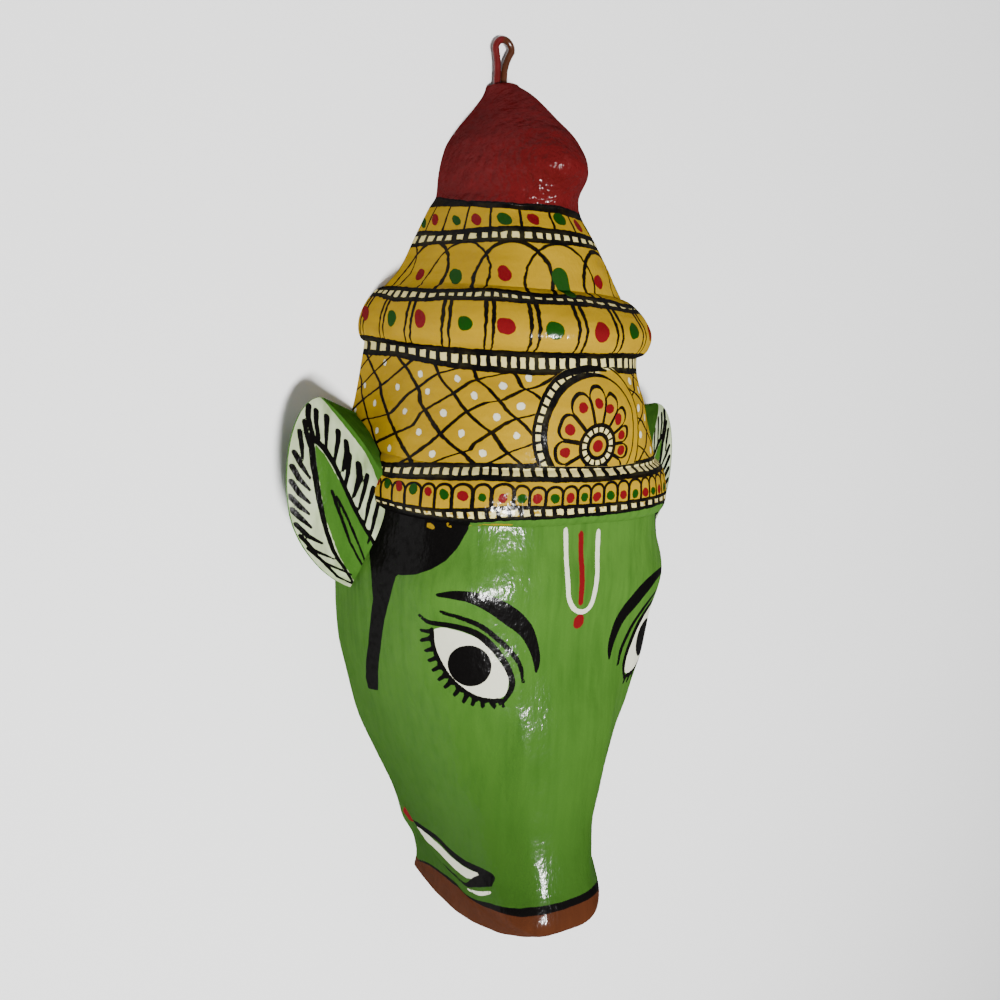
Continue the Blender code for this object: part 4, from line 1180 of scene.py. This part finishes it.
def paintEar():
    paint = Paint("painted ear")
    wobble = (paint.noise(hand["size"], 1.0) - 0.5) * hand["ear"]
    streaks = paint.noise(1, 3.0, grains["ear"])
    green = paint.lay(colours["greenDark"], colours["green"], streaks * 1.3)
    white = paint.lay(colours["earGrey"], colours["earWhite"], streaks.over(0.45, 0.3))
    white = paint.lay(white, colours["white"], paint.noise(90).over(0.5, 0.3) * cover["earWhite"])
    leaf = (paint.field("earWhite") * (1 / mm) + wobble).over(0.0)
    colour = paint.lay(green, white, leaf)
    colour = paint.lay(colour, green, paint.stroke("earGreen", wobble))
    front = paint.field("earAcross").over(-0.02)             # no ink on the ear's back
    colour = paint.lay(colour, colours["black"], paint.stroke("earInk", wobble * 0.5) * front)
    lacquer(paint, colour, grains["earGloss"], gloss["earSheen"])
    return paint.material


def paintInside():
    paint = Paint("raw paper inside")
    fibres = paint.noise(160, 6.0, rough=0.65)
    sheets = paint.node("TexVoronoi", {"feature": "DISTANCE_TO_EDGE"},
                        {"Vector": paint.place(), "Scale": 42.0})
    seam = sheets.under(0.03, 0.04)                          # where the pasted sheets meet
    colour = paint.lay(colours["rawDark"], colours["raw"], fibres * 1.1)
    colour = paint.lay(colour, colours["rawDark"], seam * 0.5)
    bump = paint.bump(0.8, 0.0008, fibres * 0.8 - seam * 0.35 + paint.noise(700, 3.0) * 0.3)
    paint.feed(Base_Color=colour, Roughness=0.85 + fibres * 0.1, Normal=bump, Specular_IOR_Level=0.2)
    return paint.material


mask.data.materials.clear()         # slots that the cuts left empty
for made in (paintHead(), paintInside(), paintEar()):
    mask.data.materials.append(made)
mask.data.polygons.foreach_set("material_index", faceKind)
for polygon in mask.data.polygons:
    polygon.use_smooth = True
mask.data.set_sharp_from_angle(angle=form["sharpAngle"])
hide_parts("mask_shell")
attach(mask, "root")
print("mask painted")


def makeLoop():
    top = alongAt(1)
    leg, bow, wire = legSpacing / 2, loopBow, loopWire["wire"]
    crest = top + loopWire["rise"] - wire / 2 - bow
    low = top - loopWire["bed"] + wire / 2 + leg
    turn = np.linspace(0, math.pi, loopWire["steps"])
    rise = np.linspace(0, 1, loopWire["steps"])[1:-1]
    spread = np.clip((rise - loopWire["parting"]) / (1 - loopWire["parting"]), 0, None) ** 2
    offset = loopWire["offset"]
    up = low + (crest - low) * rise
    foot = np.stack([offset - leg * np.cos(turn), low - leg * np.sin(turn)], 1)
    right = np.stack([(offset + leg) * (1 - spread) + bow * spread, up], 1)
    arch = np.stack([bow * np.cos(turn), crest + bow * np.sin(turn)], 1)
    left = np.stack([(offset - leg) * (1 - spread) - bow * spread, up], 1)
    path = np.concatenate([foot, right, arch, left[::-1]])
    ahead = np.roll(path, -1, axis=0) - np.roll(path, 1, axis=0)
    ahead /= np.linalg.norm(ahead, axis=1, keepdims=True)
    sides, points = loopWire["sides"], []
    for (x, y), (dx, dy) in zip(path, ahead):
        for k in range(sides):
            angle = math.tau * k / sides
            out = wire / 2 * math.cos(angle)
            points.append((x + dy * out, y - dx * out, loopStand + wire / 2 * math.sin(angle)))
    faces = []
    for r in range(len(path)):
        for c in range(sides):
            a, b = r * sides + c, r * sides + (c + 1) % sides
            n = ((r + 1) % len(path) - r) * sides
            faces.append((a, b, b + n, a + n))
    mesh = bpy.data.meshes.new("hanging_wire")
    mesh.from_pydata([tuple(map(float, p)) for p in points], [], faces)
    item = placeSolid("hanging_wire", mesh)
    mesh.shade_smooth()
    return item


def paintLoop():
    paint = Paint("painted wire")
    worn = paint.noise(340, 3.0)
    across = paint.node("SeparateXYZ", None, {0: paint.place()})
    brownSide = (across + worn * 0.0012).over(-0.0001, 0.0008)           # its right leg is brown
    red = paint.lay(colours["bulb"], colours["bulbLight"], worn)
    brown = paint.lay(colours["brownDark"], colours["brown"], worn)
    colour = paint.lay(red, brown, brownSide)
    bump = paint.bump(0.5, 0.0003, worn)
    paint.feed(Base_Color=colour, Roughness=0.12 + worn * 0.2, Normal=bump, Specular_IOR_Level=0.15)
    return paint.material


wire = makeLoop()
wire.data.materials.append(paintLoop())
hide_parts("hanging_loop")
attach(wire, "root")
print("loop made")


stage = {
    "size": 6.0, "drop": 0.0001, "colour": (0.92, 0.92, 0.92, 1), "shade": (0.86, 0.86, 0.855, 1),
    "world": (1.0, 1.0, 1.0, 1), "worldStrength": 0.22,
}


def makeStage():
    bpy.ops.mesh.primitive_plane_add(size=stage["size"], location=(0, 0, -stage["drop"]))
    floor = bpy.context.object
    floor.name = "studio_floor"
    paint = Paint("studio floor")
    cloud = paint.noise(6, 4.0)
    fleck = paint.noise(900)
    board = paint.lay(stage["colour"], stage["shade"], cloud * 0.5 + fleck * 0.3)
    grain = paint.bump(0.2, 0.0002, fleck)
    paint.feed(Base_Color=board, Roughness=0.8 + cloud * 0.2, Normal=grain, Specular_IOR_Level=0.1)
    floor.data.materials.append(paint.material)
    world = bpy.data.worlds.new("studio")
    bpy.context.scene.world = world
    world.use_nodes = True
    sky = world.node_tree.nodes["Background"]
    sky.inputs["Color"].default_value = stage["world"]
    sky.inputs["Strength"].default_value = stage["worldStrength"]


lamps = {                        # place, aim, width, height, watts, and whether it lights or only glints
    "key": ((-0.21, -0.24, 1.05), (0, 0, 0.05), 0.11, 0.21, 27.0, True),
    "glint": ((-0.21, -0.24, 1.06), (0, 0, 0.05), 0.11, 0.21, 64.0, False),
    "fill": ((0.5, 1.2, 1.6), (0, 0, 0.05), 1.0, 1.0, 4.0, True),
}


def makeLamps():
    for name, (place, aim, width, height, watts, lights) in lamps.items():
        light = bpy.data.lights.new(name, "AREA")
        light.shape, light.size, light.size_y, light.energy = "RECTANGLE", width, height, watts
        item = bpy.data.objects.new(name, light)
        item.location = place
        item.visible_diffuse = lights
        item.rotation_euler = (Vector(aim) - Vector(place)).to_track_quat("-Z", "Y").to_euler()
        bpy.context.scene.collection.objects.link(item)


view = {                         # angles in radians, focal length as a share of the sensor
    "place": (-0.14606, 0.05438, 0.26050), "azimuth": 0.5422, "elevation": 0.1928, "roll": 0.0609,
    "focal": 0.81877, "sensor": 36.0, "near": 0.01, "far": 50.0,
}


def makeCamera():
    az, el, roll = view["azimuth"], view["elevation"], view["roll"]
    back = Vector((-math.sin(az) * math.cos(el), math.sin(el), math.cos(az) * math.cos(el)))
    right = Vector((0, 1, 0)).cross(back).normalized()
    up = back.cross(right)
    tiltRight = math.cos(roll) * right + math.sin(roll) * up
    tiltUp = -math.sin(roll) * right + math.cos(roll) * up
    lens = bpy.data.cameras.new("photo view")
    lens.sensor_width = view["sensor"]
    lens.lens = view["focal"] * view["sensor"]
    lens.clip_start, lens.clip_end = view["near"], view["far"]
    camera = bpy.data.objects.new("photo view", lens)
    turn = Matrix((tiltRight, tiltUp, back)).transposed().to_4x4()
    camera.matrix_world = Matrix.Translation(view["place"]) @ turn
    bpy.context.scene.collection.objects.link(camera)
    bpy.context.scene.camera = camera


makeStage()
makeLamps()
makeCamera()
print("studio set")
